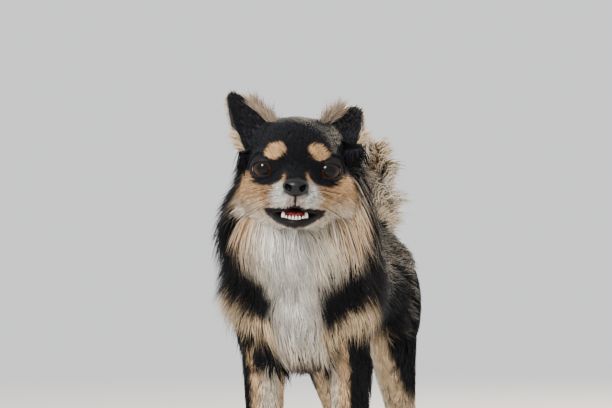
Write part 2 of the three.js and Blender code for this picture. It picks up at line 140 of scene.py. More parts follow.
def ball(centre, radii):
    """Rough distance to an ellipsoid: scaled reach less one, over the slope of that reach."""
    centre, radii = np.array(centre, float), np.array(radii, float)

    def distance(p):
        q = (p - centre) / radii
        reach = np.sqrt((q * q).sum(-1))
        slope = np.sqrt(((q / radii) ** 2).sum(-1)) + 1e-9
        return reach * (reach - 1) / slope

    distance.low, distance.high = centre - radii, centre + radii
    return distance


def limb(start, start_radius, end, end_radius):
    """Distance to a tapered rod: distance to the nearest axis point less the radius there."""
    start, end = np.array(start, float), np.array(end, float)
    along = end - start

    def distance(p):
        t = np.clip(((p - start) @ along) / (along @ along), 0, 1)
        away = p - start - t[..., None] * along
        return np.sqrt((away * away).sum(-1)) - (start_radius + (end_radius - start_radius) * t)

    radius = max(start_radius, end_radius)
    distance.low, distance.high = np.minimum(start, end) - radius, np.maximum(start, end) + radius
    return distance


def smooth_min(a, b, fillet):
    """The smaller of two distances, rounded where they differ by less than the fillet."""
    overlap = np.maximum(fillet - np.abs(a - b), 0) / fillet
    return np.minimum(a, b) - overlap * overlap * fillet / 4


def both(form):
    """The form on the dog's left and on its right."""
    return [form(1), form(-1)]


def each_side(forms):
    """The forms of the dog's left, then those of its right."""
    return forms(1) + forms(-1)


def head_ball(centre, radii):
    """A ball of the head's own frame, as a field of the dog's frame."""
    inner = ball(centre, radii)

    def distance(p):
        return inner(to_head(p))

    middle = in_head(centre)
    distance.low, distance.high = middle - max(radii), middle + max(radii)
    return distance


def head_limb(start, start_radius, end, end_radius):
    """A limb between two places of the head's own frame."""
    return limb(in_head(start), start_radius, in_head(end), end_radius)


# %% Forms of the body
STANCE_FRONT, FORELEG_Y, ELBOW, WRIST = 33, -57, 110, 36
STANCE_REAR, HINDLEG_Y, HOCK = 24, 84, 60

skull_forms = [
    head_ball((0, 5, 1), (33, 34, 32)),
    head_ball((0, -14, 9), (25, 20, 22)),
    *both(lambda s: head_ball((s * 19, -4, -17), (16, 25, 17))),
    *both(lambda s: head_ball((s * 21.6, -17, -4), (12, 12.5, 12))),
    *both(lambda s: head_ball((s * 15, -27, -24), (12, 15, 11))),
    *both(lambda s: head_ball((s * 7, -43, -24), (9.5, 11, 9))),
    head_limb((0, -22, -14), 15, (0, -46, -18), 10.5),
]
jaw_forms = [
    *both(lambda s: head_limb((s * 17, -6, -30), 8.5, (s * 7, -38, -37.5), 6.5)),
    head_ball((0, -43, -38.5), (9, 8.5, 7)),
]
neck_forms = [
    limb((7, -78, 236), 36, (2, -58, 186), 42),
    ball((4, -82, 206), (44, 38, 40)),
]
trunk_forms = [
    ball((0, -50, 160), (41, 48, 49)),
    ball((0, 0, 165), (37, 52, 43)),
    ball((0, 42, 170), (33, 42, 36)),
    ball((0, 68, 174), (32, 28, 34)),
]


def foreleg_forms(s):
    """Shoulder, upper and lower foreleg of one side."""
    elbow = (s * STANCE_FRONT, FORELEG_Y + 4, ELBOW)
    wrist = (s * STANCE_FRONT, FORELEG_Y - 2, WRIST)
    return [
        ball((s * 33, -62, 142), (14.5, 22, 30)),
        limb(elbow, 13.5, wrist, 9.5),
        limb(wrist, 9.5, (s * STANCE_FRONT, FORELEG_Y - 7, 16), 9),
    ]


def hindleg_forms(s):
    """Thigh, shank and rear pastern of one side."""
    hock = (s * STANCE_REAR, HINDLEG_Y, HOCK)
    return [
        ball((s * 25, 64, 150), (15.5, 29, 36)),
        limb((s * 27, 50, 122), 16, hock, 8.5),
        limb(hock, 8.5, (s * STANCE_REAR, HINDLEG_Y - 5, 17), 8),
    ]


def toe_places(x, y, length):
    """Four places on the floor 5.3 mm apart, 0.32 of a paw's length before its middle, and each
    further back by 2.2 mm for every step that it lies out from the middle."""
    return [np.array([x + i * 5.3, y - length * 0.32 + abs(i) * 2.2, 0]) for i in (-1.5, -0.5, 0.5, 1.5)]


def paw_forms(x, y, length):
    """Instep and four toes of one paw. The sole is cut flat at the floor later."""
    toes = [ball(toe + (0, 0, 6.3), (3.6, 8, 7.3)) for toe in toe_places(x, y, length)]
    return [ball((x, y + 2, 7.5), (10.5, length * 0.42, 11)), *toes]


FORE_PAW = (FORELEG_Y - 9, 32)
HIND_PAW = (HINDLEG_Y - 8, 30)
fore_legs, hind_legs = each_side(foreleg_forms), each_side(hindleg_forms)
fore_paws = each_side(lambda s: paw_forms(s * STANCE_FRONT, *FORE_PAW))
hind_paws = each_side(lambda s: paw_forms(s * STANCE_REAR, *HIND_PAW))

# %% The tail's path
TAIL_KNOTS = np.array([
    (0, 70, 194), (0, 85, 214), (0, 90, 238), (-3, 82, 258),
    (-9, 66, 270), (-17, 46, 273), (-24, 30, 266),
], float)


def along_path(knots, t):
    """Places on a smooth path through knots: a cubic with each knot's slope from its neighbours."""
    t = np.clip(np.asarray(t, float), 0, 1) * (len(knots) - 1)
    i = np.minimum(t.astype(int), len(knots) - 2)
    f = (t - i)[..., None]
    padded = np.vstack([2 * knots[0] - knots[1], knots, 2 * knots[-1] - knots[-2]])
    a, b, c, d = padded[i], padded[i + 1], padded[i + 2], padded[i + 3]
    return 0.5 * (2 * b + (c - a) * f + (2 * a - 5 * b + 4 * c - d) * f**2
                  + (3 * b - a - 3 * c + d) * f**3)


tail_steps = along_path(TAIL_KNOTS, np.linspace(0, 1, 15))
tail_forms = [limb(a, 7.4, b, 7.4) for a, b in zip(tail_steps[:-1], tail_steps[1:])]
body_forms = trunk_forms + neck_forms + fore_legs + hind_legs
BODY_FILLET, HEAD_FILLET, FINE_FILLET = 12, 7, 3

# %% [markdown]
# The mouth is a hollow, so its shape is taken away from head and jaw before the rest of the body goes on.
# The same sum of forms is used for single points, where hair is laid, and for the grid that makes the skin.

# %% The whole body as one field
mouth_hollow = head_ball((0, -42, -34), (10.5, 20, 6))
eye_sockets = both(lambda s: head_ball(EYE_PLACE * (s, 1, 1), (9.9, 9.9, 9.9)))


def near_forms(forms, fillet, p, distance):
    """Folds each form into a distance, only where points lie near the form's own box."""
    margin = 16
    for form in forms:
        close = ((p > form.low - margin) & (p < form.high + margin)).all(-1)
        if close.any():
            distance[close] = smooth_min(distance[close], form(p[close]), fillet)
    return distance


def body_field(p, hollows):
    """Distance from points to the flesh: head and jaw, less the hollows, then all the rest."""
    distance = near_forms(skull_forms, HEAD_FILLET, p, np.full(p.shape[:-1], 60.0))
    distance = near_forms(jaw_forms, FINE_FILLET, p, distance)
    for hollow in hollows:
        close = ((p > hollow.low - 2) & (p < hollow.high + 2)).all(-1)
        distance[close] = np.maximum(distance[close], -hollow(p[close]))
    distance = near_forms(body_forms, BODY_FILLET, p, distance)
    return near_forms(tail_forms + fore_paws + hind_paws, FINE_FILLET, p, distance)


def whole_field(p):
    """Distance from points to the skin: flesh, less the mouth and sockets, cut at the floor."""
    return np.maximum(body_field(p, (mouth_hollow, *eye_sockets)), -p[..., 2] + 0.2)


def hair_field(p):
    """The skin without its hollows, for hair to lie on."""
    return body_field(p, ())


def slope(field, p, h=0.5):
    """Unit slope of a field by central differences."""
    steps = np.eye(3) * h
    g = np.stack([field(p + s) - field(p - s) for s in steps], -1)
    return g / (np.linalg.norm(g, axis=-1, keepdims=True) + 1e-9)


# %% [markdown]
# A mesh is drawn round the field on a grid: each grid cell that the skin passes through gets one
# vertex at the mean of its edge crossings, and each crossed edge gets one face. The grid is fine
# at the head and coarser on the legs and back, where the coat hides the skin.

# %% Meshes from a field


def grid_axis(spans):
    """Joined even steps from spans of (start, end, step)."""
    return np.unique(np.concatenate([np.arange(a, b + 1e-6, s) for a, b, s in spans]))


def surface_net(axes, level):
    """Vertices and outward quads round field = level on a grid of the three axes."""
    xs, ys, zs = axes
    p = np.stack(np.meshgrid(xs, ys, zs, indexing="ij"), -1)
    values = whole_field(p) - level
    inside = values < 0
    total = np.zeros(tuple(n - 1 for n in values.shape) + (3,))
    count = np.zeros(tuple(n - 1 for n in values.shape))
    crossings = []
    for axis in range(3):
        a = tuple(slice(None, -1) if k == axis else slice(None) for k in range(3))
        b = tuple(slice(1, None) if k == axis else slice(None) for k in range(3))
        crossed = inside[a] != inside[b]
        i, j, k = np.nonzero(crossed)
        va, vb = values[a][crossed], values[b][crossed]
        f = (va / (va - vb))[:, None]
        place = p[a][crossed] * (1 - f) + p[b][crossed] * f
        crossings.append((axis, i, j, k, inside[a][crossed]))
        others = [n for n in range(3) if n != axis]
        for du in (0, -1):
            for dv in (0, -1):
                cell = np.stack([i, j, k], 1)
                cell[:, others[0]] += du
                cell[:, others[1]] += dv
                ok = ((cell >= 0) & (cell < count.shape)).all(1)
                c = tuple(cell[ok].T)
                np.add.at(total, c, place[ok])
                np.add.at(count, c, 1)
    used = count > 0
    number = np.full(count.shape, -1)
    number[used] = np.arange(used.sum())
    verts = total[used] / count[used][:, None]
    faces = []
    for axis, i, j, k, start_inside in crossings:
        u, v = [(1, 2), (2, 0), (0, 1)][axis]
        corner = []
        for du, dv in ((0, 0), (-1, 0), (-1, -1), (0, -1)):
            cell = np.stack([i, j, k], 1)
            cell[:, u] += du
            cell[:, v] += dv
            corner.append(number[tuple(cell.T)])
        quad = np.stack(corner, 1)
        quad[~start_inside] = quad[~start_inside][:, ::-1]
        faces.append(quad)
    return verts, np.concatenate(faces)


def mesh_object(name, verts, faces, smooth=True):
    """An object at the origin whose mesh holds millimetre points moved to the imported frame."""
    mesh = bpy.data.meshes.new(name)
    faces = np.asarray(faces)
    mesh.vertices.add(len(verts))
    mesh.vertices.foreach_set("co", packed(verts).astype(np.float32).ravel())
    mesh.loops.add(faces.size)
    mesh.loops.foreach_set("vertex_index", faces.astype(np.int32).ravel())
    mesh.polygons.add(len(faces))
    mesh.polygons.foreach_set("loop_start", np.arange(0, faces.size, faces.shape[1], dtype=np.int32))
    mesh.update(calc_edges=True)
    mesh.validate()
    mesh.polygons.foreach_set("use_smooth", np.full(len(mesh.polygons), smooth))
    piece = bpy.data.objects.new(name, mesh)
    bpy.context.collection.objects.link(piece)
    print(name, len(verts), "vertices", len(faces), "faces")
    return piece


skin_axes = (
    grid_axis([(-66, -46, 2.2), (-44, 60, 1.0), (61, 70, 2.2)]),
    grid_axis([(-172, -60, 1.0), (-58, 120, 2.2)]),
    grid_axis([(-3, 24, 1.2), (26, 196, 2.2), (197, 300, 1.0)]),
)
skin_verts, skin_faces = surface_net(skin_axes, -0.8)
skin = mesh_object("skin", skin_verts, skin_faces)
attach(skin, "root")

# %% [markdown]
# The dog is black with tan and cream. Every marking is a named shape in the dog's own sizes: two
# brow spots, a black bridge and eye patches on a tan and cream face, a pale bib between two black
# wedges, tan bands over the shoulders and pale legs and tail. Skin and hair ask the same function.

# %% Markings


def linear(hex_colour):
    """An sRGB hex colour as linear red, green and blue."""
    c = np.array([int(hex_colour[i:i + 2], 16) for i in (1, 3, 5)]) / 255
    return np.where(c <= 0.04045, c / 12.92, ((c + 0.055) / 1.055) ** 2.4)


BLACK, BROWN = linear("#0e0d11"), linear("#43301f")
TAN, ORANGE, PALE_TAN = linear("#d9ac7a"), linear("#cf9158"), linear("#e6cba6")
CREAM, WHITE = linear("#f1e4cf"), linear("#f8f3ea")
LIP_GREY, LIP_DARK, MOUTH_RED = linear("#a08a86"), linear("#241c1b"), linear("#3c1214")


def rise(a, b, x):
    """0 before a, 1 after b, smooth between. a may lie after b."""
    t = np.clip((x - a) / (b - a), 0, 1)
    return t * t * (3 - 2 * t)


def spot(x, z, cx, cz, rx, rz, edge=0.25):
    """1 inside an ellipse, falling to 0 over its edge."""
    reach = np.hypot((x - cx) / rx, (z - cz) / rz)
    return rise(1 + edge, 1 - edge, reach)


def ripple(p, size, seed=0.0):
    """Smooth pseudo-random waves of about a given size, -1 to 1."""
    k = 2 * math.pi / size
    a = np.sin(p[..., 0] * k + 1.7 * np.sin(p[..., 1] * k * 0.7 + seed) + seed)
    b = np.sin(p[..., 1] * k * 1.1 + 1.3 * np.sin(p[..., 2] * k * 0.8 + 2 * seed) + 2.1)
    c = np.sin(p[..., 2] * k * 0.9 + 1.5 * np.sin(p[..., 0] * k * 0.9 + 3 * seed) + 4.2)
    return (a + b + c) / 3


def over(base, colour, mask):
    """A colour laid over another where the mask is 1."""
    return base * (1 - mask[..., None]) + colour * mask[..., None]


def face_colour(h):
    """Markings of the head, from places in the head's own frame."""
    x, y, z = h[..., 0], h[..., 1], h[..., 2]
    ax = np.abs(x)
    colour = np.broadcast_to(BLACK, h.shape).copy()
    side_limit = 37 + 0.45 * np.maximum(-z - 6, 0)
    pale = rise(-4.5, -9.5, z) * rise(side_limit + 4, side_limit - 3, ax) * rise(12, 2, y)
    colour = over(colour, TAN, pale)
    colour = over(colour, ORANGE, pale * spot(ax, z, 14, -14, 9, 6, 0.6) * 0.5)
    colour = over(colour, CREAM, pale * rise(-22, -42, z - 0.25 * (ax - 20)))
    colour = over(colour, WHITE, pale * spot(ax, z, 9.5, -23, 8, 10, 0.5) * rise(-24, -34, y))
    colour = over(colour, WHITE, pale * rise(-40, -54, z) * rise(40, 22, ax))
    colour = over(colour, LIP_GREY, rise(9, 4, ax) * rise(-20, -24, z) * rise(-36, -44, y) * 0.7)
    patch = spot(ax, z, 21.5, -5.5, 13.2, 10.5, 0.12)
    bridge = rise(9.5, 6.5, ax + 0.18 * (z + 12)) * rise(-25, -19, z)
    colour = over(colour, BLACK, np.maximum(patch, bridge) * rise(12, 2, y))
    low_lip = -41 + 10 * (ax / 20) ** 2
    lips = rise(low_lip - 4.5, low_lip - 2.5, z) * rise(-30.4, -31.4, z)
    lips = lips * rise(23, 20, ax) * rise(-12, -18, y)
    colour = over(colour, LIP_DARK, lips)
    brow = spot(ax + 0.35 * (z - 8.5), z, 15, 8.5, 6.8, 6.0, 0.14) * rise(5, -6, y)
    return over(colour, TAN, brow)


def bib_mask(p):
    """The pale bib: wide under the chin, narrow at the breast, widening in tan bands."""
    x, y, z = p[..., 0], p[..., 1], p[..., 2]
    middle = 8 + 7 * rise(145, 200, z)
    half = 15 + 32 * rise(160, 198, z) + 5 * rise(128, 112, z)
    return rise(half + 5, half - 5, np.abs(x - middle)) * rise(-64, -78, y + 0.25 * np.abs(x))


def band_mask(p):
    """Tan bands that fall from each shoulder to the middle of the breast."""
    x, y, z = p[..., 0], p[..., 1], p[..., 2]
    level = 120 + 0.62 * np.abs(x - 8)
    return rise(13, 6, np.abs(z - level)) * rise(-48, -66, y)


def body_colour(p):
    """Markings of neck, trunk and legs, from places in the dog's frame, with painted rim light on the
    flanks and on the left side of the ruff, and painted shade low under the breast.
    """
    x, y, z = p[..., 0], p[..., 1], p[..., 2]
    ax = np.abs(x)
    colour = np.broadcast_to(BLACK, p.shape).copy()
    # A faint brown band along both upper flanks, about 186 mm up, is painted rim light on the flank's ridge.
    colour = over(colour, BROWN, rise(8, 2, np.abs(z - 186 - 0.1 * y)) * rise(-20, 30, y) * 0.35)
    colour = over(colour, PALE_TAN, rise(140, 126, z) * rise(36, 22, ax) * rise(-50, -20, y))
    colour = over(colour, PALE_TAN, band_mask(p))
    colour = over(colour, CREAM, bib_mask(p))
    colour = over(colour, WHITE, bib_mask(p) * rise(26, 8, np.abs(x - 10)) * rise(112, 140, z))
    colour = over(colour, TAN, bib_mask(p) * rise(22, 38, np.abs(x - 12)) * rise(176, 200, z) * 0.8)
    # Cream streaks on the dog's left side of the ruff, at the edge that the rim lamp lights, are painted rim
    # light.
    rim_light_streaks = rise(0.25, 0.5, ripple(p * (1, 1, 0.25), 9, 2.0)) * rise(28, 36, x) * rise(-92, -84, y) * 0.6
    colour = over(colour, CREAM, rim_light_streaks * rise(184, 196, z) * rise(262, 240, z) * rise(-44, -56, y))
    # A brown spot low on the breast, between the forelegs, is painted shade under the chest.
    return over(colour, BROWN, spot(x, z, 10, 108, 16, 7, 0.4) * rise(-60, -75, y))


def foreleg_colour(p):
    """Tan and cream forelegs with a black stripe down the outer side."""
    ax, y, z = np.abs(p[..., 0]), p[..., 1], p[..., 2]
    colour = np.broadcast_to(0.5 * TAN + 0.5 * PALE_TAN, p.shape).copy()
    colour = over(colour, CREAM, rise(33, 24, ax) * rise(-52, -64, y))
    stripe = rise(34, 38, ax + 0.15 * (y + 58)) * rise(26, 50, z)
    colour = over(colour, BLACK, np.maximum(stripe, rise(146, 160, z) * rise(34, 40, ax)))
    return over(colour, PALE_TAN, rise(40, 14, z))


def hindleg_colour(p):
    """Black outer thigh, cream inside and front, pale breeches and tan shanks."""
    ax, y, z = np.abs(p[..., 0]), p[..., 1], p[..., 2]
    colour = np.broadcast_to(PALE_TAN, p.shape).copy()
    colour = over(colour, CREAM, rise(24, 14, ax))
    outer = rise(25, 31, ax + 0.12 * (z - 140)) * rise(66, 92, z) * rise(98, 84, y - 0.1 * (z - 120))
    colour = over(colour, BLACK, outer)
    return over(colour, TAN, rise(70, 40, z) * 0.6)


def tail_colour(p):
    """A cream tail, tan in places."""
    colour = np.broadcast_to(CREAM, p.shape).copy()
    return over(colour, PALE_TAN, rise(-0.1, 0.6, ripple(p, 40, 1.0)) * 0.6)


# %% Which part of the body a place belongs to
REGIONS = {
    "head": skull_forms + jaw_forms,
    "neck": neck_forms,
    "trunk": trunk_forms,
    "foreleg": fore_legs + fore_paws,
    "hindleg": hind_legs + hind_paws,
    "tail": tail_forms,
}
REGION_NAMES = list(REGIONS)


def region_of(p):
    """Index of the group of forms that each place lies nearest to."""
    reach = []
    for forms in REGIONS.values():
        distance = np.full(p.shape[:-1], 60.0)
        for form in forms:
            close = ((p > form.low - 14) & (p < form.high + 14)).all(-1)
            distance[close] = np.minimum(distance[close], form(p[close]))
        reach.append(distance)
    return np.argmin(np.stack(reach), 0)


def coat_colour(p, region):
    """The marking at each place, edges roughened by ripples so that they look combed."""
    head = REGION_NAMES.index("head")
    waves = np.stack([ripple(p, 9, seed) for seed in (0.3, 1.3, 2.3)], -1)
    rough = p + np.where(region == head, 0.6, 1.8)[:, None] * waves
    painters = {
        "head": lambda q: face_colour(to_head(q)), "neck": body_colour, "trunk": body_colour,
        "foreleg": foreleg_colour, "hindleg": hindleg_colour, "tail": tail_colour,
    }
    colour = np.zeros(p.shape)
    for number, name in enumerate(REGION_NAMES):
        here = region == number
        colour[here] = painters[name](rough[here])
    return colour


def paint(piece, name, colour):
    """Stores one linear colour for each vertex of a piece."""
    data = np.concatenate([colour, np.ones((len(colour), 1))], 1).astype(np.float32)
    layer = piece.data.color_attributes.new(name, "FLOAT_COLOR", "POINT")
    layer.data.foreach_set("color", data.ravel())


skin_region = region_of(skin_verts)
# The skin takes the marking's colour darkened to 0.55 of it, as painted shade between the hairs.
skin_colour = coat_colour(skin_verts, skin_region) * 0.55
in_mouth = (mouth_hollow(skin_verts) < 0.9) & (to_head(skin_verts)[:, 1] < -24)
skin_colour[in_mouth] = MOUTH_RED
paint(skin, "Coat", skin_colour)

# %% [markdown]
# A hair's look comes from its colour, a root darkened as painted shade, and a long soft highlight.
# One small function adds shader nodes, so each finish reads as a short list of what it is made of.

# %% Finishes


def material(name):
    """A new node material, with its shader."""
    made = bpy.data.materials.new(name)
    made.use_nodes = True
    return made, made.node_tree.nodes["Principled BSDF"]


def plain(name, hex_colour, roughness):
    """A material of one sRGB hex colour and one roughness, with its shader."""
    made, shader = material(name)
    shader.inputs["Base Color"].default_value = (*linear(hex_colour), 1)
    shader.inputs["Roughness"].default_value = roughness
    return made, shader


def node(made, kind, settings=None, links=None):
    """Adds a node, sets its values by socket or property, and links sockets to it."""
    added = made.node_tree.nodes.new(kind)
    for key, value in (settings or {}).items():
        if hasattr(added, key):
            setattr(added, key, value)
        else:
            added.inputs[key].default_value = value
    for key, source in (links or {}).items():
        made.node_tree.links.new(source, added.inputs[key])
    return added


def bump(made, shader, height, distance, strength):
    """Bump from a height output, over a distance in metres."""
    raised = node(made, "ShaderNodeBump", {"Strength": strength, "Distance": distance},
                  {"Height": height})
    made.node_tree.links.new(raised.outputs["Normal"], shader.inputs["Normal"])


def coat_finish(name, painted_root_shade, roughness):
    """Hair in its Coat colour times a painted shade that rises from painted_root_shade at the root to 1 at
    the tip, with a faint bluish sheen."""
    made, shader = material(name)
    coat = node(made, "ShaderNodeAttribute", {"attribute_name": "Coat"})
    along = node(made, "ShaderNodeAttribute", {"attribute_name": "Along"})
    shade = node(made, "ShaderNodeMapRange", {"To Min": painted_root_shade, "To Max": 1.0},
                 {"Value": along.outputs["Fac"]})
    dark = node(made, "ShaderNodeVectorMath", {"operation": "SCALE"},
                {0: coat.outputs["Color"], "Scale": shade.outputs["Result"]})
    made.node_tree.links.new(dark.outputs["Vector"], shader.inputs["Base Color"])
    shader.inputs["Roughness"].default_value = roughness
    shader.inputs["Specular IOR Level"].default_value = 0.13
    shader.inputs["Sheen Weight"].default_value = 0.03
    shader.inputs["Sheen Roughness"].default_value = 0.4
    shader.inputs["Sheen Tint"].default_value = (0.75, 0.82, 1.0, 1)
    return made


# Long guard hair of ruff, bib, body, hind legs and tail. Its roots are darkened more, as painted
# shade for the depth between the locks.
long_coat = coat_finish("long silky guard hair", 0.6, 0.6)
# Short hair of face, forelegs, ears and lids, and the whiskers: it lies close, so its roots get
# less painted shade.
short_coat = coat_finish("short smooth hair", 0.7, 0.6)

# Skin seen between the hairs: the marking's colour, darkened as painted shade, dull and finely pored.
PORE = 10 / 9 * MM
skin_finish, shader = material("skin under the coat")
skin_tone = node(skin_finish, "ShaderNodeAttribute", {"attribute_name": "Coat"})
pores = node(skin_finish, "ShaderNodeTexNoise", {"Scale": 1 / PORE, "Detail": 2.0},
             {"Vector": node(skin_finish, "ShaderNodeTexCoord").outputs["Object"]})
skin_finish.node_tree.links.new(skin_tone.outputs["Color"], shader.inputs["Base Color"])
shader.inputs["Roughness"].default_value = 0.7
bump(skin_finish, shader, pores.outputs["Fac"], 0.0004, 0.4)
skin.data.materials.append(skin_finish)
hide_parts("head", "lower_jaw", "neck", "torso", "foreleg_left", "foreleg_right",
            "forepaw_left", "forepaw_right", "hindleg_left", "hindleg_right",
            "hindpaw_left", "hindpaw_right", "tail_root", "tail_tip")


# %% [markdown]
# Eyes, lids, nose, lips, tongue, teeth, ears and claws are closed surfaces drawn as stacks of rings.

# %% Closed surfaces from rings


def unit(v):
    """A vector over its own length."""
    return v / (np.linalg.norm(v, axis=-1, keepdims=True) + 1e-12)


def outward(verts, faces):
    """Faces turned so that the sum of their corners' triple products, six volumes, is positive."""
    a, b, c = (verts[faces[:, k]] - verts[0] for k in range(3))
    volume = (np.cross(a, b) * c).sum()
    return verts, faces if volume > 0 else faces[:, ::-1]


def loft(rings, ends=True):
    """Triangles between rings one after another, with a point in the middle of each end ring.

    Without ends the last ring joins the first, as on a hoop."""
    n, m = rings.shape[:2]
    row, column = np.meshgrid(np.arange(n - 1 if ends else n), np.arange(m), indexing="ij")
    a, b = row * m + column, row * m + (column + 1) % m
    c, d = (b + m) % (n * m), (a + m) % (n * m)
    faces = np.concatenate([np.stack([a, b, c], -1), np.stack([a, c, d], -1)]).reshape(-1, 3)
    verts = rings.reshape(-1, 3)
    if ends:
        loop = np.arange(m)
        after = (loop + 1) % m
        first = np.stack([after, loop, np.full(m, n * m)], 1)
        last = np.stack([loop + (n - 1) * m, after + (n - 1) * m, np.full(m, n * m + 1)], 1)
        verts = np.concatenate([verts, rings[:1].mean(1), rings[-1:].mean(1)])
        faces = np.concatenate([faces, first, last])
    return outward(verts, faces)


def joined(parts):
    """Several (vertices, faces) as one, with the later faces' numbers moved on."""
    starts = np.cumsum([0] + [len(v) for v, _ in parts[:-1]])
    faces = [f + start for (_, f), start in zip(parts, starts)]
    return np.concatenate([v for v, _ in parts]), np.concatenate(faces)


def circle(count):
    """Evenly spaced angles once round."""
    return np.arange(count) / count * 2 * math.pi


def egg(centre, radii, rows=14, columns=20):
    """Places on an ellipsoid of the head's own frame: its centre plus its radii times a unit ball."""
    down = (np.arange(rows) + 0.5)[:, None] / rows * math.pi
    turn = circle(columns)[None]
    x, y = np.sin(down) * np.cos(turn), np.sin(down) * np.sin(turn)
    z = np.cos(down) * np.ones_like(turn)
    return np.array(centre, float) + np.stack([x, y, z], -1) * radii


def rod(path, radius, sides=10):
    """A round rod: at each place of the path a circle of the radius across it."""
    run = unit(np.gradient(path, axis=0))
    side = unit(np.cross(run, [0.05, 0.1, 1.0]))[:, None]
    up = np.cross(side, run[:, None])
    turn = circle(sides)[None, :, None]
    return loft(path[:, None] + radius[:, None, None] * (np.cos(turn) * side + np.sin(turn) * up))


def settled(points, height):
    """Points moved along the field's slope until they stand a height over the skin."""
    for _ in range(4):
        points = points - slope(hair_field, points) * (hair_field(points) - height)[:, None]
    return points


def dressed(piece, finish, slot, *nodes):
    """Gives a piece its finish, parents it to the root body and hides the nodes that it stands for.
    The slot is not used.
    """
    piece.data.materials.append(finish)
    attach(piece, "root")
    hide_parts(*nodes)


# %% [markdown]
# The eyes are large, wet and nearly all iris. Their colour is laid by angle from the gaze: a
# pupil, a brown iris with fine streaks, a dark ring and a little pale white in the corners. A lighter
# crescent in the lower iris is painted light.

# %% Eyes
EYE_RADIUS = 9.6
PUPIL_ANGLE, IRIS_ANGLE = 0.42, 0.98
PUPIL, IRIS, IRIS_PAINTED_LIGHT = linear("#050404"), linear("#1e110b"), linear("#4f2d18")
EYE_WHITE = linear("#b9aaa0")
CORNEA_IOR = 1.376

# Wet eye: dark colour under a clear film, which gives the eye its small bright catch-light.
eye_finish, shader = material("wet eye")
eye_tone = node(eye_finish, "ShaderNodeAttribute", {"attribute_name": "Coat"})
eye_finish.node_tree.links.new(eye_tone.outputs["Color"], shader.inputs["Base Color"])
shader.inputs["Roughness"].default_value = 0.12
shader.inputs["IOR"].default_value = CORNEA_IOR
shader.inputs["Coat Weight"].default_value = 0.6
shader.inputs["Coat IOR"].default_value = CORNEA_IOR
shader.inputs["Coat Roughness"].default_value = 0.02
shader.inputs["Specular IOR Level"].default_value = 0.05


def eye_axes(s):
    """Centre, gaze, sideways and upward directions of one eye, in the dog's frame."""
    gaze = unit(HEAD @ [s * 0.16, -0.98, -0.03])
    across = unit(np.cross(gaze, [0, 0, 1]))
    return in_head(EYE_PLACE * (s, 1, 1)), gaze, across, np.cross(across, gaze)


def round_gaze(s, away, turn):
    """Directions at an angle away from the gaze and turned about it."""
    _, gaze, across, up = eye_axes(s)
    around = np.cos(turn)[..., None] * across + np.sin(turn)[..., None] * up
    return np.cos(away)[..., None] * gaze + np.sin(away)[..., None] * around


for name, s in (("eye_left", 1), ("eye_right", -1)):
    centre, gaze, across, up = eye_axes(s)
    away, turn = np.meshgrid(np.linspace(0.01, math.pi - 0.01, 90), circle(72), indexing="ij")
    radius = EYE_RADIUS + 0.7 * np.clip(1 - (away / 0.9) ** 2, 0, 1)
    verts, faces = loft(centre + radius[..., None] * round_gaze(s, away, turn))
    looking = unit(verts - centre)
    away = np.arccos(np.clip(looking @ gaze, -1, 1))
    turn = np.arctan2(looking @ up, looking @ across)
    streak = 0.5 + 0.5 * np.sin(31 * turn + 2 * np.sin(7 * turn))
    colour = over(np.tile(EYE_WHITE, (len(verts), 1)), IRIS, rise(IRIS_ANGLE + 0.05, IRIS_ANGLE - 0.03, away))
    # Painted light: a lighter brown crescent in the lower iris, where light through the cornea would fall.
    painted_iris_light = rise(0.36, 0.56, away) * rise(IRIS_ANGLE - 0.04, 0.6, away) * rise(0.5, -0.6, np.sin(turn))
    colour = over(colour, IRIS_PAINTED_LIGHT, painted_iris_light * (0.45 + 0.4 * streak))
    colour = over(colour, PUPIL, rise(PUPIL_ANGLE + 0.03, PUPIL_ANGLE - 0.03, away))
    eye = mesh_object("eyeball_" + name[4:], verts, faces)
    paint(eye, "Coat", colour)
    dressed(eye, eye_finish, "eye", name)

# %% [markdown]
# Each pair of lids is one hoop round the eye: a thin shell from the edge of an almond opening back
# to the skin. Lips are rods laid on the lower jaw and under the muzzle.

# %% Lids, lips and nose
# Moist black skin of lids and lips: nearly matt, so it outlines eye and mouth without shining.
wet_skin, shader = plain("wet black lid and lip skin", "#151112", 0.5)
shader.inputs["Specular IOR Level"].default_value = 0.15

# Reach of the open lids from the gaze, in radians, to each side, above and below, and the mean
# height at which their hair starts. The section is angle past the opening, and mm from the centre.
LID_SIDE, LID_ABOVE, LID_BELOW, LID_HAIR = 1.06, 0.56, 0.48, 0.54
LID_SECTION = np.array([
    (0.80, 9.70), (0.30, 9.72), (0.03, 9.85), (-0.02, 10.1), (-0.02, 10.4), (0.04, 10.7),
    (0.14, 10.85), (0.35, 10.8), (0.80, 10.1),
])
for name, s in (("left", 1), ("right", -1)):
    centre = eye_axes(s)[0]
    turn = circle(96)[:, None]
    high = np.where(np.sin(turn) > 0, LID_ABOVE, LID_BELOW)
    opening = 1 / np.hypot(np.cos(turn) / LID_SIDE, np.sin(turn) / high)
    away = opening + LID_SECTION[None, :, 0]
    rings = centre + LID_SECTION[None, :, 1, None] * round_gaze(s, away, turn + 0 * away)
    lid = mesh_object("eyelids_" + name, *loft(rings, ends=False))
    dressed(lid, wet_skin, "nose_leather", "eye_" + name)


def mirrored(points):
    """A half path and its mirror image, end to end across the middle of the face."""
    points = np.array(points, float)
    return np.concatenate([points, points[-2::-1] * (-1, 1, 1)])


def lip(points, radius, lift):
    """A rod on a mirrored path, thin at its ends, settled at a lift over the skin unless that is
    None: its radius is scaled by the root of 1 less the eighth power of the way from the middle."""
    t = np.linspace(0, 1, 49)
    path = in_head(along_path(mirrored(points), t))
    if lift is not None:
        path = settled(path, lift)
    return rod(path, radius * np.sqrt(np.clip(1 - (2 * t - 1) ** 8, 0.05, 1)))


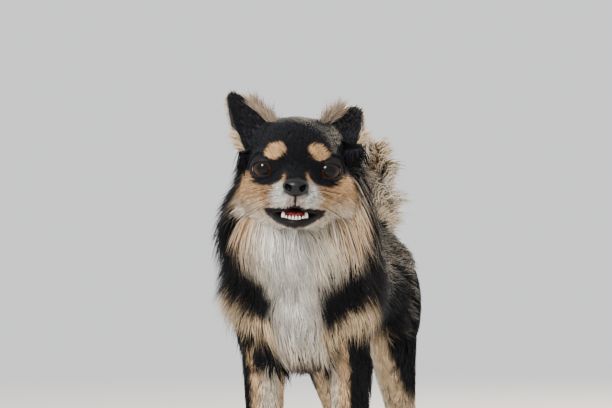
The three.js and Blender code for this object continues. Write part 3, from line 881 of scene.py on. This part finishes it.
lower_lip = lip([(20, -20, -31), (15.5, -31, -34.5), (9, -43, -39), (0, -49.5, -41)], 2.5, None)
upper_lip = lip([(19, -22, -31.5), (13, -36, -30), (6.5, -47, -28.8), (0, -51.5, -28.2)], 0.9, 0.0)
parting = settled(in_head(np.linspace((0, -60, -22), (0, -53, -28), 12)), -0.2)
lips = mesh_object("lips", *joined([lower_lip, upper_lip, rod(parting, np.full(12, 0.7))]))
dressed(lips, wet_skin, "nose_leather", "lower_jaw", "head")

# Nose leather: black, broken into small pebbles under a thin damp film.
nose_leather, shader = plain("pebbled nose leather", "#08080b", 0.38)
shader.inputs["Specular IOR Level"].default_value = 0.3
shader.inputs["Coat Weight"].default_value = 0.08
shader.inputs["Coat Roughness"].default_value = 0.2
PEBBLE = 0.8 * MM
place = node(nose_leather, "ShaderNodeTexCoord").outputs["Object"]
pebbles = node(nose_leather, "ShaderNodeTexVoronoi", {"Scale": 1 / PEBBLE}, {"Vector": place})
bump(nose_leather, shader, pebbles.outputs["Distance"], 0.0002, 0.5)

# The leather is an egg with its lower sides tucked up, a groove down its lower middle and two
# nostrils pushed in 4.5 mm, which rise at their outer ends.
pad = egg((0, -55, -16.2), (9.2, 6.8, 6.3), 60, 80)
pad[..., 2] += 1.2 * rise(4, 9, np.abs(pad[..., 0])) * rise(-14, -20, pad[..., 2])
pad[..., 1] += 0.9 * rise(1.3, 0, np.abs(pad[..., 0])) * rise(-14, -20, pad[..., 2])
for s in (1, -1):
    raised = pad[..., 2] + 17.2 - 0.5 * np.abs(pad[..., 0] - s * 4)
    inward = np.hypot((pad[..., 0] - s * 4.9) / 2.5, raised / 2.3)
    pad[..., 1] += 4.5 * rise(1.15, 0.45, inward) * rise(-52, -56, pad[..., 1])
nose = mesh_object("nose", *loft(in_head(pad)))
dressed(nose, nose_leather, "nose_leather", "nose")

# %% Tongue, teeth and claws
# Wet pink tongue, smooth ivory enamel and dark, slightly polished claw horn.
tongue_finish, _ = plain("wet tongue", "#cf545c", 0.28)
enamel, _ = plain("tooth enamel", "#efe6d4", 0.22)
horn, _ = plain("claw horn", "#1c1715", 0.35)

flesh = egg((0, -30, -34.8), (8.4, 14.6, 3.2), 20, 40)
flesh[..., 2] -= 0.9 * rise(2.5, 0, np.abs(flesh[..., 0]))
tongue = mesh_object("tongue", *loft(in_head(flesh)))
dressed(tongue, tongue_finish, "tongue", "tongue")

TOOTH_STEP = 2.3


def incisor(s, i):
    """Centre, radius and half height of a lower incisor: i less a half steps out from the middle,
    and back by 0.06 of the square of i steps."""
    arch = -47.4 + 0.06 * (i * TOOTH_STEP) ** 2
    return s * (i - 0.5) * TOOTH_STEP, arch, -37.9 - 0.1 * i, 1.05, 2.0 + 0.2 * i


tooth_places = [incisor(s, i) for s in (1, -1) for i in (1, 2, 3)]
tooth_places += [(s * 7.9, -44.0, -37.0, 1.4, 4.2) for s in (1, -1)]
teeth = joined([loft(in_head(egg((x, y, z), (r, r * 0.8, h), 12, 14))) for x, y, z, r, h in tooth_places])
dressed(mesh_object("teeth", *teeth), enamel, "coat_cream", "lower_jaw")

# Each toe has a curved claw and a pad, and each paw one broad pad behind its toes.
claws, pads = [], []
stances = ((STANCE_FRONT, FORE_PAW), (STANCE_REAR, HIND_PAW))
for x, (y, length) in [(s * out, paw) for out, paw in stances for s in (1, -1)]:
    for toe in toe_places(x, y, length):
        curve = toe + np.array([(0, -5.5, 6.4), (0, -8.5, 6.2), (0, -11, 4.6), (0, -12.6, 2.2)])
        claws.append(rod(along_path(curve, np.linspace(0, 1, 9)), np.linspace(1.5, 0.35, 9)))
        pads.append(loft(toe + egg((0, -1, 2), (2.9, 5, 2), 8, 14)))
    pads.append(loft(np.array([x, y + 3, 0]) + egg((0, 0, 2), (7.5, 6, 2), 8, 16)))
paw_nodes = ("forepaw_left", "forepaw_right", "hindpaw_left", "hindpaw_right")
dressed(mesh_object("claws", *joined(claws)), horn, "coat_black", *paw_nodes)
dressed(mesh_object("pads", *joined(pads)), nose_leather, "nose_leather", *paw_nodes)

# %% [markdown]
# The coat is made of tufts: thin closed wedges of solid mesh that lie along the body. A root is
# picked on the skin, and the tuft steps along the local flow, held at a rising height over the
# skin. Neighbours in a warped grid cell close up towards their tips, which makes locks.

# %% Tufts
skin_quads = skin_verts[skin_faces]
face_mid = skin_quads.mean(1)
diagonals = np.cross(skin_quads[:, 2] - skin_quads[:, 0], skin_quads[:, 3] - skin_quads[:, 1])
face_area = np.linalg.norm(diagonals, axis=1) / 2
face_region = region_of(face_mid)
face_head = to_head(face_mid)


def bald_places():
    """True for faces that carry no hair: mouth, eyes, nose leather and soles."""
    bald = (mouth_hollow(face_mid) < 1.0) & (face_head[:, 1] < -22)
    bald |= (((face_head - (0, -55, -16.5)) / (10.2, 8, 7.6)) ** 2).sum(1) < 1
    for s in (1, -1):
        centre, gaze, _, _ = eye_axes(s)
        away = face_mid - centre
        reach = np.linalg.norm(away, axis=1)
        bald |= (reach < 10.3) | ((away @ gaze > 0.62 * reach) & (reach < 14))
    return bald | (face_mid[:, 2] < 1.2)


bald = bald_places()


def roots_on(mask, count):
    """Places spread over the masked faces by area, one to each even share of it."""
    reach = np.cumsum(np.where(mask & ~bald, face_area, 0))
    face = np.searchsorted(reach, (np.arange(count) + rng.random(count)) / count * reach[-1])
    quad = skin_quads[np.minimum(face, len(skin_quads) - 1)]
    a, b = rng.random((2, count, 1))
    return (quad[:, 0] * (1 - a) + quad[:, 1] * a) * (1 - b) + (quad[:, 3] * (1 - a) + quad[:, 2] * a) * b


def clumps(roots, size):
    """Number of each root's clump, from cells of a warped grid, and the mean root of that clump."""
    warp = np.stack([ripple(roots, size * 3.1, k) for k in (0.0, 1.0, 2.0)], -1)
    cell = np.floor(roots / size + 0.4 * warp).astype(int)
    member = np.unique(cell, axis=0, return_inverse=True)[1].ravel()
    total = np.zeros((member.max() + 1, 4))
    np.add.at(total, member, np.c_[roots, np.ones(len(roots))])
    return member, (total[:, :3] / total[:, 3:])[member]


# Reach of the slope at roots and along the hair, least height over the floor, all in mm, and the
# size of a tuft's patch in OFBake.
ROOT_REACH, TIP_REACH, FLOOR_GAP = 0.8, 1.2, 0.8
BAKE_PATCH = 0.003


def combed(roots, flow, length, lift, stations):
    """Paths that follow the skin: each step goes along the flow laid flat, then in or out until the
    path stands lift times the share of the way to the power 0.8 over the skin."""
    p = roots
    normal = slope(hair_field, p, ROOT_REACH)
    path, normals = [p], [normal]
    for k in range(1, stations):
        flat = unit(flow - (flow * normal).sum(-1, keepdims=True) * normal)
        p = p + flat * (length / (stations - 1))[:, None]
        normal = slope(hair_field, p, TIP_REACH)
        share = k / (stations - 1)
        p = p + normal * (lift * share**0.8 - hair_field(p))[:, None]
        p = np.concatenate([p[:, :2], np.maximum(p[:, 2:], FLOOR_GAP)], 1)
        path.append(p)
        normals.append(normal)
    return np.stack(path, 1), np.stack(normals, 1)


def flown(roots, direction, length, droop, stations):
    """Free paths: root plus direction times the way gone, less droop times its share squared."""
    share = np.linspace(0, 1, stations)[None, :, None]
    path = roots[:, None] + direction[:, None] * length[:, None, None] * share
    path = path - np.array([0, 0, 1.0]) * (droop[:, None, None] * share**2)
    return path


def tufts(name, path, normals, width, colour, place, finish, slot, nodes):
    """One mesh of closed wedges on paths of shape (tufts, stations, 3).

    The section at a station is a triangle: half the width to each side and 0.55 of that outward.
    It is widest at a third of the way and ends in a point. OFBake gives each tuft a patch
    0.003 across at its root's place on the unwrapped skin."""
    count, stations = path.shape[:2]
    side = unit(np.cross(np.gradient(path, axis=1), normals))
    share = np.linspace(0, 1, stations)
    half = width[:, None, None] * np.interp(share, [0, 0.33, 1], [0.7, 1, 0.12])[:, None] / 2
    rings = np.stack([path - side * half, path + side * half, path + normals * half * 0.55], 2)[:, :-1]
    verts = np.concatenate([rings.reshape(count, -1, 3), path[:, -1:]], 1)
    verts[..., 2] = np.maximum(verts[..., 2], 0)
    each = verts.shape[1]
    pattern = [(0, 1, 2)]
    for k in range(0, each - 4, 3):
        for a, b in ((0, 1), (1, 2), (2, 0)):
            pattern += [(k + a, k + b + 3, k + b), (k + a, k + a + 3, k + b + 3)]
    pattern += [(each - 4 + a, each - 1, each - 4 + b) for a, b in ((0, 1), (1, 2), (2, 0))]
    faces = (np.array(pattern)[None] + np.arange(count)[:, None, None] * each).reshape(-1, 3)
    piece = mesh_object(name, verts.reshape(-1, 3), faces)
    paint(piece, "Coat", np.repeat(colour, each, 0))
    along = np.append(np.repeat(share[:-1], 3), 1.0)
    layer = piece.data.attributes.new("Along", "FLOAT", "POINT")
    layer.data.foreach_set("value", np.tile(along, count).astype(np.float32))
    across = np.append(np.tile([0.0, 1.0, 0.5], stations - 1), 0.5)
    uv = place[:, None] + BAKE_PATCH * np.stack([along, across], 1)[None]
    bake = piece.data.uv_layers.new(name="OFBake")
    bake.data.foreach_set("uv", uv.reshape(-1, 2)[faces.ravel()].astype(np.float32).ravel())
    dressed(piece, finish, slot, *nodes)


def unwrap(p, centre, axis):
    """The skin round an axis laid flat: turn about it, and place along it, both 0 to 1."""
    q = p - p.min(0)
    other = [k for k in range(3) if k != axis]
    turn = np.arctan2(p[:, other[1]] - centre[other[1]], p[:, other[0]] - centre[other[0]])
    height = q[:, axis] / (q[:, axis].max() + 1e-9)
    return np.stack([turn / (2 * math.pi) + 0.5, height], 1) * 0.99


def varied(colour, member):
    """Colours times 1 plus a random part of its clump and one of its own, held to 0.45 to 1.5."""
    clump = rng.normal(0, 0.13, member.max() + 1)[member]
    single = rng.normal(0, 0.12, len(member))
    return colour * np.clip(1 + clump + single, 0.45, 1.5)[:, None]


def coat(name, mask, count, look, stations, cell, axis, finish, slot, nodes):
    """Tufts over part of the skin, with flow, length, lift, width and closing-up from its look.

    Each clump leans its own way and waves by up to a twentieth of its length, and its tufts close
    up towards its middle as the power 1.4 of the share of the way."""
    roots = roots_on(mask, count)
    region = region_of(roots)
    member, middle = clumps(roots, cell)
    flow, length, lift, width, closing = look(roots)
    closing = np.full(count, 1.0) * closing
    clump_lean = 0.21 * closing[:, None] * rng.normal(0, 1, (member.max() + 1, 3))[member]
    flow = unit(flow) + clump_lean + rng.normal(0, 0.07, flow.shape)
    length = length * (0.85 + 0.3 * rng.random(member.max() + 1)[member]) * rng.uniform(0.8, 1.1, count)
    lift = lift * rng.uniform(0.25, 1.0, count)
    path, normals = combed(roots, flow, length, lift, stations)
    share = np.linspace(0, 1, stations)[None, :, None]
    side = unit(np.cross(normals, np.gradient(path, axis=1)))
    phase = rng.uniform(0, 2 * math.pi, member.max() + 1)[member][:, None, None]
    path = path + side * 0.05 * length[:, None, None] * share * np.sin(7 * share + phase)
    path = path + (middle - roots)[:, None] * closing[:, None, None] * share**1.4
    colour = varied(coat_colour(path[:, stations - 2], region), member)
    width = width * rng.uniform(0.6, 1.3, count)
    place = unwrap(roots, roots.mean(0), axis)
    tufts(name, path, normals, width, colour, place, finish, slot, nodes)


# %% [markdown]
# Each part of the body has its own look. Face hair runs back from the nose and is the shortest;
# the ruff hangs down and out; the back runs to the tail; legs run down with longer hair behind.

# %% Looks
# Each ear's root, direction to its tip and direction of its opening, in the head's own frame, and
# the side of its own width that lies towards the middle of the head.
EARS = {
    "ear_left": ((27, 3, 17), (14, 42, 23), (0.36, -0.54, 0.76), -1),
    "ear_right": ((-24, 3, 14), (-24, 30, 33), (-0.27, -0.8, 0.53), 1),
}


def head_look(p):
    """Flow away from the nose, drooping on the cheeks; 3 mm at the muzzle, longer on the cheeks and
    by the ears, and over 30 mm behind the cheeks, where it stands out and closes into locks."""
    h = to_head(p)
    ax, y, z = np.abs(h[:, 0]), h[:, 1], h[:, 2]
    cheek = rise(20, 36, ax) * rise(0, -14, z) * rise(-34, -12, y)
    behind = rise(-8, 12, y) * rise(8, 24, ax) * rise(18, 2, z)
    ears = sum(rise(25, 12, np.linalg.norm(h - base, axis=1)) for base, _, _, _ in EARS.values())
    sideways = np.stack([np.sign(h[:, 0]) * 0.6, np.full_like(y, 0.1), np.full_like(y, -0.9)], -1)
    flow = unit(h - (0, -60, -13)) + np.maximum(cheek, behind)[:, None] * sideways
    length = 3 + 2.4 * rise(-46, -26, y) + 2.5 * rise(-20, 4, y) + 9 * cheek + 5 * rise(8, 30, y)
    length = length + 22 * behind + 7 * ears
    lift = 0.16 * length + 3.5 * cheek + 11 * behind + 3 * ears
    return flow @ HEAD.T, length, lift, 0.55 + 0.03 * length, 0.08 + 0.5 * behind


def ruff_look(p):
    """Hair of the neck hangs down and out over the shoulders, longest at the sides."""
    side = rise(14, 34, np.abs(p[:, 0] - 4))
    back = rise(-60, -40, p[:, 1])
    flow = np.stack([0.5 * (p[:, 0] - 4) / 40, 0.15 + 0.5 * back, -1 + 0.1 * back], -1)
    right = rise(0, -30, p[:, 0])
    length = 33 + 9 * side
    high = 0.3 + 0.7 * rise(172, 200, p[:, 2])
    lift = 8 + (7 * side + 7 * right * side) * high
    return flow, length, lift, np.ones_like(length), 0.6


def trunk_look(p):
    """Breast hair hangs down, back hair runs to the tail and flank hair slants down."""
    breast = rise(-62, -80, p[:, 1])
    low = rise(190, 150, p[:, 2])
    flow = np.stack([0.3 * p[:, 0] / 35, 1 - 0.9 * breast, -0.15 - 0.7 * low - 0.6 * breast], -1)
    length = 24 + 9 * low + 4 * breast
    return flow, length, 5 + 3 * breast + 1.5 * low, np.ones_like(length), 0.6


def leg_look(y_leg, rear_length):
    """Look of a leg standing at y_leg: down it, long behind, short in front and on the paw."""
    def look(p):
        """Flow, length, lift, width and closing-up from height and from how far behind the leg."""
        paw = rise(30, 20, p[:, 2])
        behind = rise(-4, 12, p[:, 1] - y_leg) * rise(40, 80, p[:, 2])
        high = rise(70, 120, p[:, 2])
        flow = np.stack([np.zeros_like(paw), 0.15 + 0.5 * behind - 1.2 * paw, -1 + 0.55 * paw], -1)
        length = 6.5 - 2.4 * paw + rear_length * behind + 9 * high
        lift = 0.14 * length + 0.12 * rear_length * behind
        return flow, length, lift, 0.75 + 0.016 * length, 0.6
    return look


# %% Coat
in_face_left = face_head[:, 0] > 0
on_left = face_mid[:, 0] > 0
in_bib = (np.abs(face_mid[:, 0] - 9) < 26) & (face_mid[:, 1] < -88)
is_region = {name: face_region == number for number, name in enumerate(REGION_NAMES)}
head, neck, trunk = is_region["head"], is_region["neck"], is_region["trunk"]
face = ("coat_tan", ["head", "lower_jaw"])
breast = ("coat_cream", ["neck"])
collar = ("coat_black", ["neck"])
body = ("coat_black", ["torso"])

# Name, faces, tufts, look, stations, lock size in mm, axis of the unwrap, finish, slot and nodes.
coats = [
    ("face_coat_left", head & in_face_left, 13000, head_look, 3, 4, 1, short_coat, *face),
    ("face_coat_right", head & ~in_face_left, 13000, head_look, 3, 4, 1, short_coat, *face),
    ("ruff_left", neck & on_left & ~in_bib, 8500, ruff_look, 4, 8, 2, long_coat, *collar),
    ("ruff_right", neck & ~on_left & ~in_bib, 8500, ruff_look, 4, 8, 2, long_coat, *collar),
    ("bib", neck & in_bib, 7500, ruff_look, 4, 8, 2, long_coat, *breast),
    ("body_coat_left", trunk & on_left, 8000, trunk_look, 4, 8, 1, long_coat, *body),
    ("body_coat_right", trunk & ~on_left, 8000, trunk_look, 4, 8, 1, long_coat, *body),
]
for side_name, here in (("left", on_left), ("right", ~on_left)):
    coats += [
        (f"{leg}_coat_{side_name}", is_region[leg] & here, count, leg_look(y, rear), 3, cell, 2,
         finish, "coat_tan", [f"{leg}_{side_name}", f"{paw}_{side_name}"])
        for leg, paw, count, y, rear, cell, finish in (
            ("foreleg", "forepaw", 7500, FORELEG_Y, 14, 5, short_coat),
            ("hindleg", "hindpaw", 8500, HINDLEG_Y, 22, 6, long_coat),
        )
    ]
for row in coats:
    coat(*row)

# %% [markdown]
# The tail's plume leaves the tail all round, leans along it and falls.

# %% Plume
count = 7000
plume_roots = roots_on(is_region["tail"], count)
distance = np.linalg.norm(plume_roots[:, None] - tail_steps[None], axis=-1)
run = unit(np.gradient(tail_steps, axis=0))[np.argmin(distance, 1)]
normal = slope(hair_field, plume_roots, ROOT_REACH)
member, middle = clumps(plume_roots, 8)
lean = rng.normal(0, 0.2, (member.max() + 1, 3))[member] + rng.normal(0, 0.08, (count, 3))
direction = unit(0.55 * normal + 0.85 * run + lean + np.array([0.12, 0, -0.1]))
path = flown(plume_roots, direction, rng.uniform(14, 27, count), np.full(count, 10.0), 4)
path = path + (middle - plume_roots)[:, None] * 0.8 * (np.linspace(0, 1, 4)[None, :, None] ** 1.4)
colour = varied(tail_colour(path[:, 1]), member)
tufts("tail_plume", path, np.repeat(normal[:, None], 4, 1), rng.uniform(0.8, 1.5, count), colour,
      unwrap(plume_roots, plume_roots.mean(0), 1), long_coat, "coat_cream", ["tail_root", "tail_tip"])

# %% [markdown]
# Each ear is a leaf of skin curled round its own length, black outside and dark within, with a
# thin pale rim, long pale hair on its edges and a black skirt at its root.

# %% Ears
EAR_LENGTH, EAR_HALF_WIDTH, EAR_THICKNESS = 58, 20, 2.4
EAR_SKIN, EAR_FRINGE = linear("#17161c"), linear("#a08c78")


def ear_surface(ear, t, over_edge, through):
    """Place and back-facing direction on an ear: an arc of half width 20 (1 - t) ^ 0.72 mm, bent by
    1.1 to 0.6 of a radian each way from root to tip."""
    base, tip, opening, _ = EARS[ear]
    along = unit(HEAD @ tip)
    face = unit(HEAD @ opening - (HEAD @ opening) @ along * along)
    across = np.cross(along, face)
    curl = 1.1 + (0.6 - 1.1) * t
    bend = EAR_HALF_WIDTH * np.maximum((1 - t) ** 0.72, 1e-4) / curl
    radius = bend - through * EAR_THICKNESS / 2
    turn = over_edge * curl
    out = np.sin(turn)[..., None] * across - np.cos(turn)[..., None] * face
    place = in_head(base) + (EAR_LENGTH * (t - 0.08))[..., None] * along + bend[..., None] * face
    return place + radius[..., None] * out, out, along, across, face


def ear_hair(ear, count, t, edge, through, lengths, lean, droop, shade):
    """Roots, paths and colours of one kind of hair on an ear.

    lean is how far it points along the ear, across it, out of its opening and off its surface."""
    t, edge = rng.uniform(*t, count), rng.uniform(*edge, count)
    roots, out, along, across, face = ear_surface(ear, t, edge, np.full(count, float(through)))
    direction = unit(lean[0] * along + lean[1] * across + lean[2] * face - lean[3] * through * out
                     + rng.normal(0, 0.2, (count, 3)))
    length = rng.uniform(*lengths, count)
    path = flown(roots, direction, length, droop * length, 3)
    colour = shade * np.clip(rng.normal(1, 0.2, count), 0.5, 1.5)[:, None]
    return path, -through * out, np.stack([t, edge / 2 + 0.5], 1) * 0.99, colour, 0.5 + 0.02 * length


ROWS, HALF_ROW = 30, 18
half_row = np.linspace(-1, 1, HALF_ROW)
edge = np.tile(np.concatenate([half_row, half_row[::-1]]), (ROWS, 1))
through = np.tile(np.repeat([1.0, -1.0], HALF_ROW), (ROWS, 1))
along_ear = np.repeat(np.linspace(0, 0.995, ROWS)[:, None], 2 * HALF_ROW, 1)

for name, (_, _, _, medial) in EARS.items():
    verts, faces = loft(ear_surface(name, along_ear, edge, through)[0])
    ear = mesh_object("cup_of_" + name, verts, faces)
    paint(ear, "Coat", np.tile(EAR_SKIN, (len(verts), 1)))
    dressed(ear, skin_finish, "coat_black", name)
    # Count, span along the ear, span across it, side, lengths, lean, droop and colour of: the back,
    # two rims, the fringe, the outer edge, the inside and the skirt.
    kinds = [
        ear_hair(name, 1900, (0, 0.97), (-1, 1), -1, (3, 5), (1, 0, 0, 0.12), 0, BLACK),
        ear_hair(name, 700, (0.05, 0.99), (0.95, 1.0), -1, (2.5, 4.5), (0.8, 0.5, 0.3, 0.1), 0, CREAM),
        ear_hair(name, 700, (0.05, 0.99), (-1.0, -0.95), -1, (2.5, 4.5), (0.8, -0.5, 0.3, 0.1), 0, CREAM),
        ear_hair(name, 520, (0.0, 0.55), sorted((medial * 0.72, medial * 1.0)), 1, (7, 19),
                 (0.8, 0.35 * medial, 0.35, 0.2), 0.1, EAR_FRINGE),
        ear_hair(name, 260, (0.0, 0.3), sorted((-medial * 0.88, -medial * 1.0)), 1, (6, 12),
                 (0.6, -0.5 * medial, 0.2, 0.2), 0.2, PALE_TAN),
        ear_hair(name, 1100, (0.0, 0.9), (-0.9, 0.9), 1, (4, 8), (1, 0, 0.1, 0.1), 0.05, BLACK),
        ear_hair(name, 600, (-0.05, 0.12), (-1, 1), -1, (9, 17), (-0.5, 0, 0.1, 0.5), 0.3, BLACK),
    ]
    path, out, place, colour, width = (np.concatenate([kind[k] for kind in kinds]) for k in range(5))
    tufts("hair_of_" + name, path, np.repeat(out[:, None], 3, 1), width, colour, place,
          short_coat, "coat_black", [name])

# %% [markdown]
# Short hair runs outward over the lids, and fine whiskers fan back from the muzzle.

# %% Hair on the lids
for name, s in (("left", 1), ("right", -1)):
    centre, gaze, _, _ = eye_axes(s)
    count = 1500
    turn = rng.uniform(0, 2 * math.pi, count)
    opening = 1 / np.hypot(np.cos(turn) / LID_SIDE, np.sin(turn) / LID_HAIR)
    away = opening + rng.uniform(0.1, 0.7, count)
    out = round_gaze(s, away, turn)
    outer = round_gaze(s, away + 0.1, turn)
    path = flown(centre + 10.5 * out, unit(unit(outer - out) + 0.12 * out), rng.uniform(2, 3.4, count),
                 np.zeros(count), 3)
    tufts("hair_of_lids_" + name, path, np.repeat(out[:, None], 3, 1), np.full(count, 0.6),
          varied(np.tile(BLACK, (count, 1)), np.arange(count)), np.stack([turn / 6.3, away / 2.5], 1),
          short_coat, "coat_black", ["eye_" + name])

# %% Whiskers
rows = [(s, i, j) for s in (1, -1) for i in range(3) for j in range(4)]
s, i, j = np.array(rows, float).T
roots = settled(in_head(np.stack([s * (9 + 1.6 * j), -50 + 4 * j, -20 - 2.6 * i], 1)), 0)
direction = unit(np.stack([s * 0.9, -0.05 + 0.2 * j, -0.15 * i - 0.05], 1)) @ HEAD.T
length = rng.uniform(20, 31, len(rows))
path = flown(roots, direction, length, np.full(len(rows), 5.0), 7)
tufts("whiskers", path, np.tile([0.0, 0, 1], (len(rows), 7, 1)), np.full(len(rows), 0.9),
      np.tile(BLACK, (len(rows), 1)), unwrap(roots, roots.mean(0), 2), short_coat, "coat_black", ["head"])

# %% [markdown]
# A pale floor that fades into pale air, a broad soft light from the front and a warm low one from
# behind on the dog's left, which rims the ears, ruff and haunch.

# %% Floor and light
# Pale matt floor, opaque under the dog and clear far away, so that no horizon shows.
FLOOR_HALF, FADE_START, FADE_END = 6, 0.6, 2.6
floor_finish, shader = plain("pale studio floor", "#dcdad6", 0.85)
reach = node(floor_finish, "ShaderNodeVectorMath", {"operation": "LENGTH"},
             {0: node(floor_finish, "ShaderNodeTexCoord").outputs["Object"]})
fade = node(floor_finish, "ShaderNodeMapRange",
            {"From Min": FADE_START, "From Max": FADE_END, "To Min": 1.0, "To Max": 0.0},
            {"Value": reach.outputs["Value"]})
floor_finish.node_tree.links.new(fade.outputs["Result"], shader.inputs["Alpha"])
floor_corners = [(x * FLOOR_HALF, y * FLOOR_HALF, 0) for x, y in ((-1, -1), (1, -1), (1, 1), (-1, 1))]
floor_mesh = bpy.data.meshes.new("floor")
floor_mesh.from_pydata(floor_corners, [], [(0, 1, 2, 3)])
floor_mesh.materials.append(floor_finish)
floor = bpy.data.objects.new("floor", floor_mesh)
bpy.context.collection.objects.link(floor)
floor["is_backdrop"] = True

world = bpy.data.worlds.new("pale air")
world.use_nodes = True
world.node_tree.nodes["Background"].inputs["Color"].default_value = (*linear("#e9eaec"), 1)
world.node_tree.nodes["Background"].inputs["Strength"].default_value = 1.3
bpy.context.scene.world = world


AIM_HEIGHT = 0.2


def area_light(name, right, away, up, size, power, colour):
    """A square light, placed in metres to the picture's right, away from the camera and up."""
    rightward = np.array([math.cos(CAMERA_AZIMUTH), math.sin(CAMERA_AZIMUTH), 0])
    where = right * rightward - away * towards_camera + np.array([0, 0, up])
    data = bpy.data.lights.new(name, "AREA")
    data.size, data.energy, data.color = size, power, colour
    lamp = bpy.data.objects.new(name, data)
    bpy.context.collection.objects.link(lamp)
    lamp.location = where
    tilt = math.atan2(math.hypot(where[0], where[1]), where[2] - AIM_HEIGHT)
    lamp.rotation_euler = (tilt, 0, math.atan2(where[1], where[0]) + math.pi / 2)


area_light("key", -1.0, -1.9, 1.6, 0.6, 75, (1.0, 0.98, 0.95))
area_light("rim", 0.8, 1.7, 1.1, 0.4, 55, (1.0, 0.84, 0.62))

low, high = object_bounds()
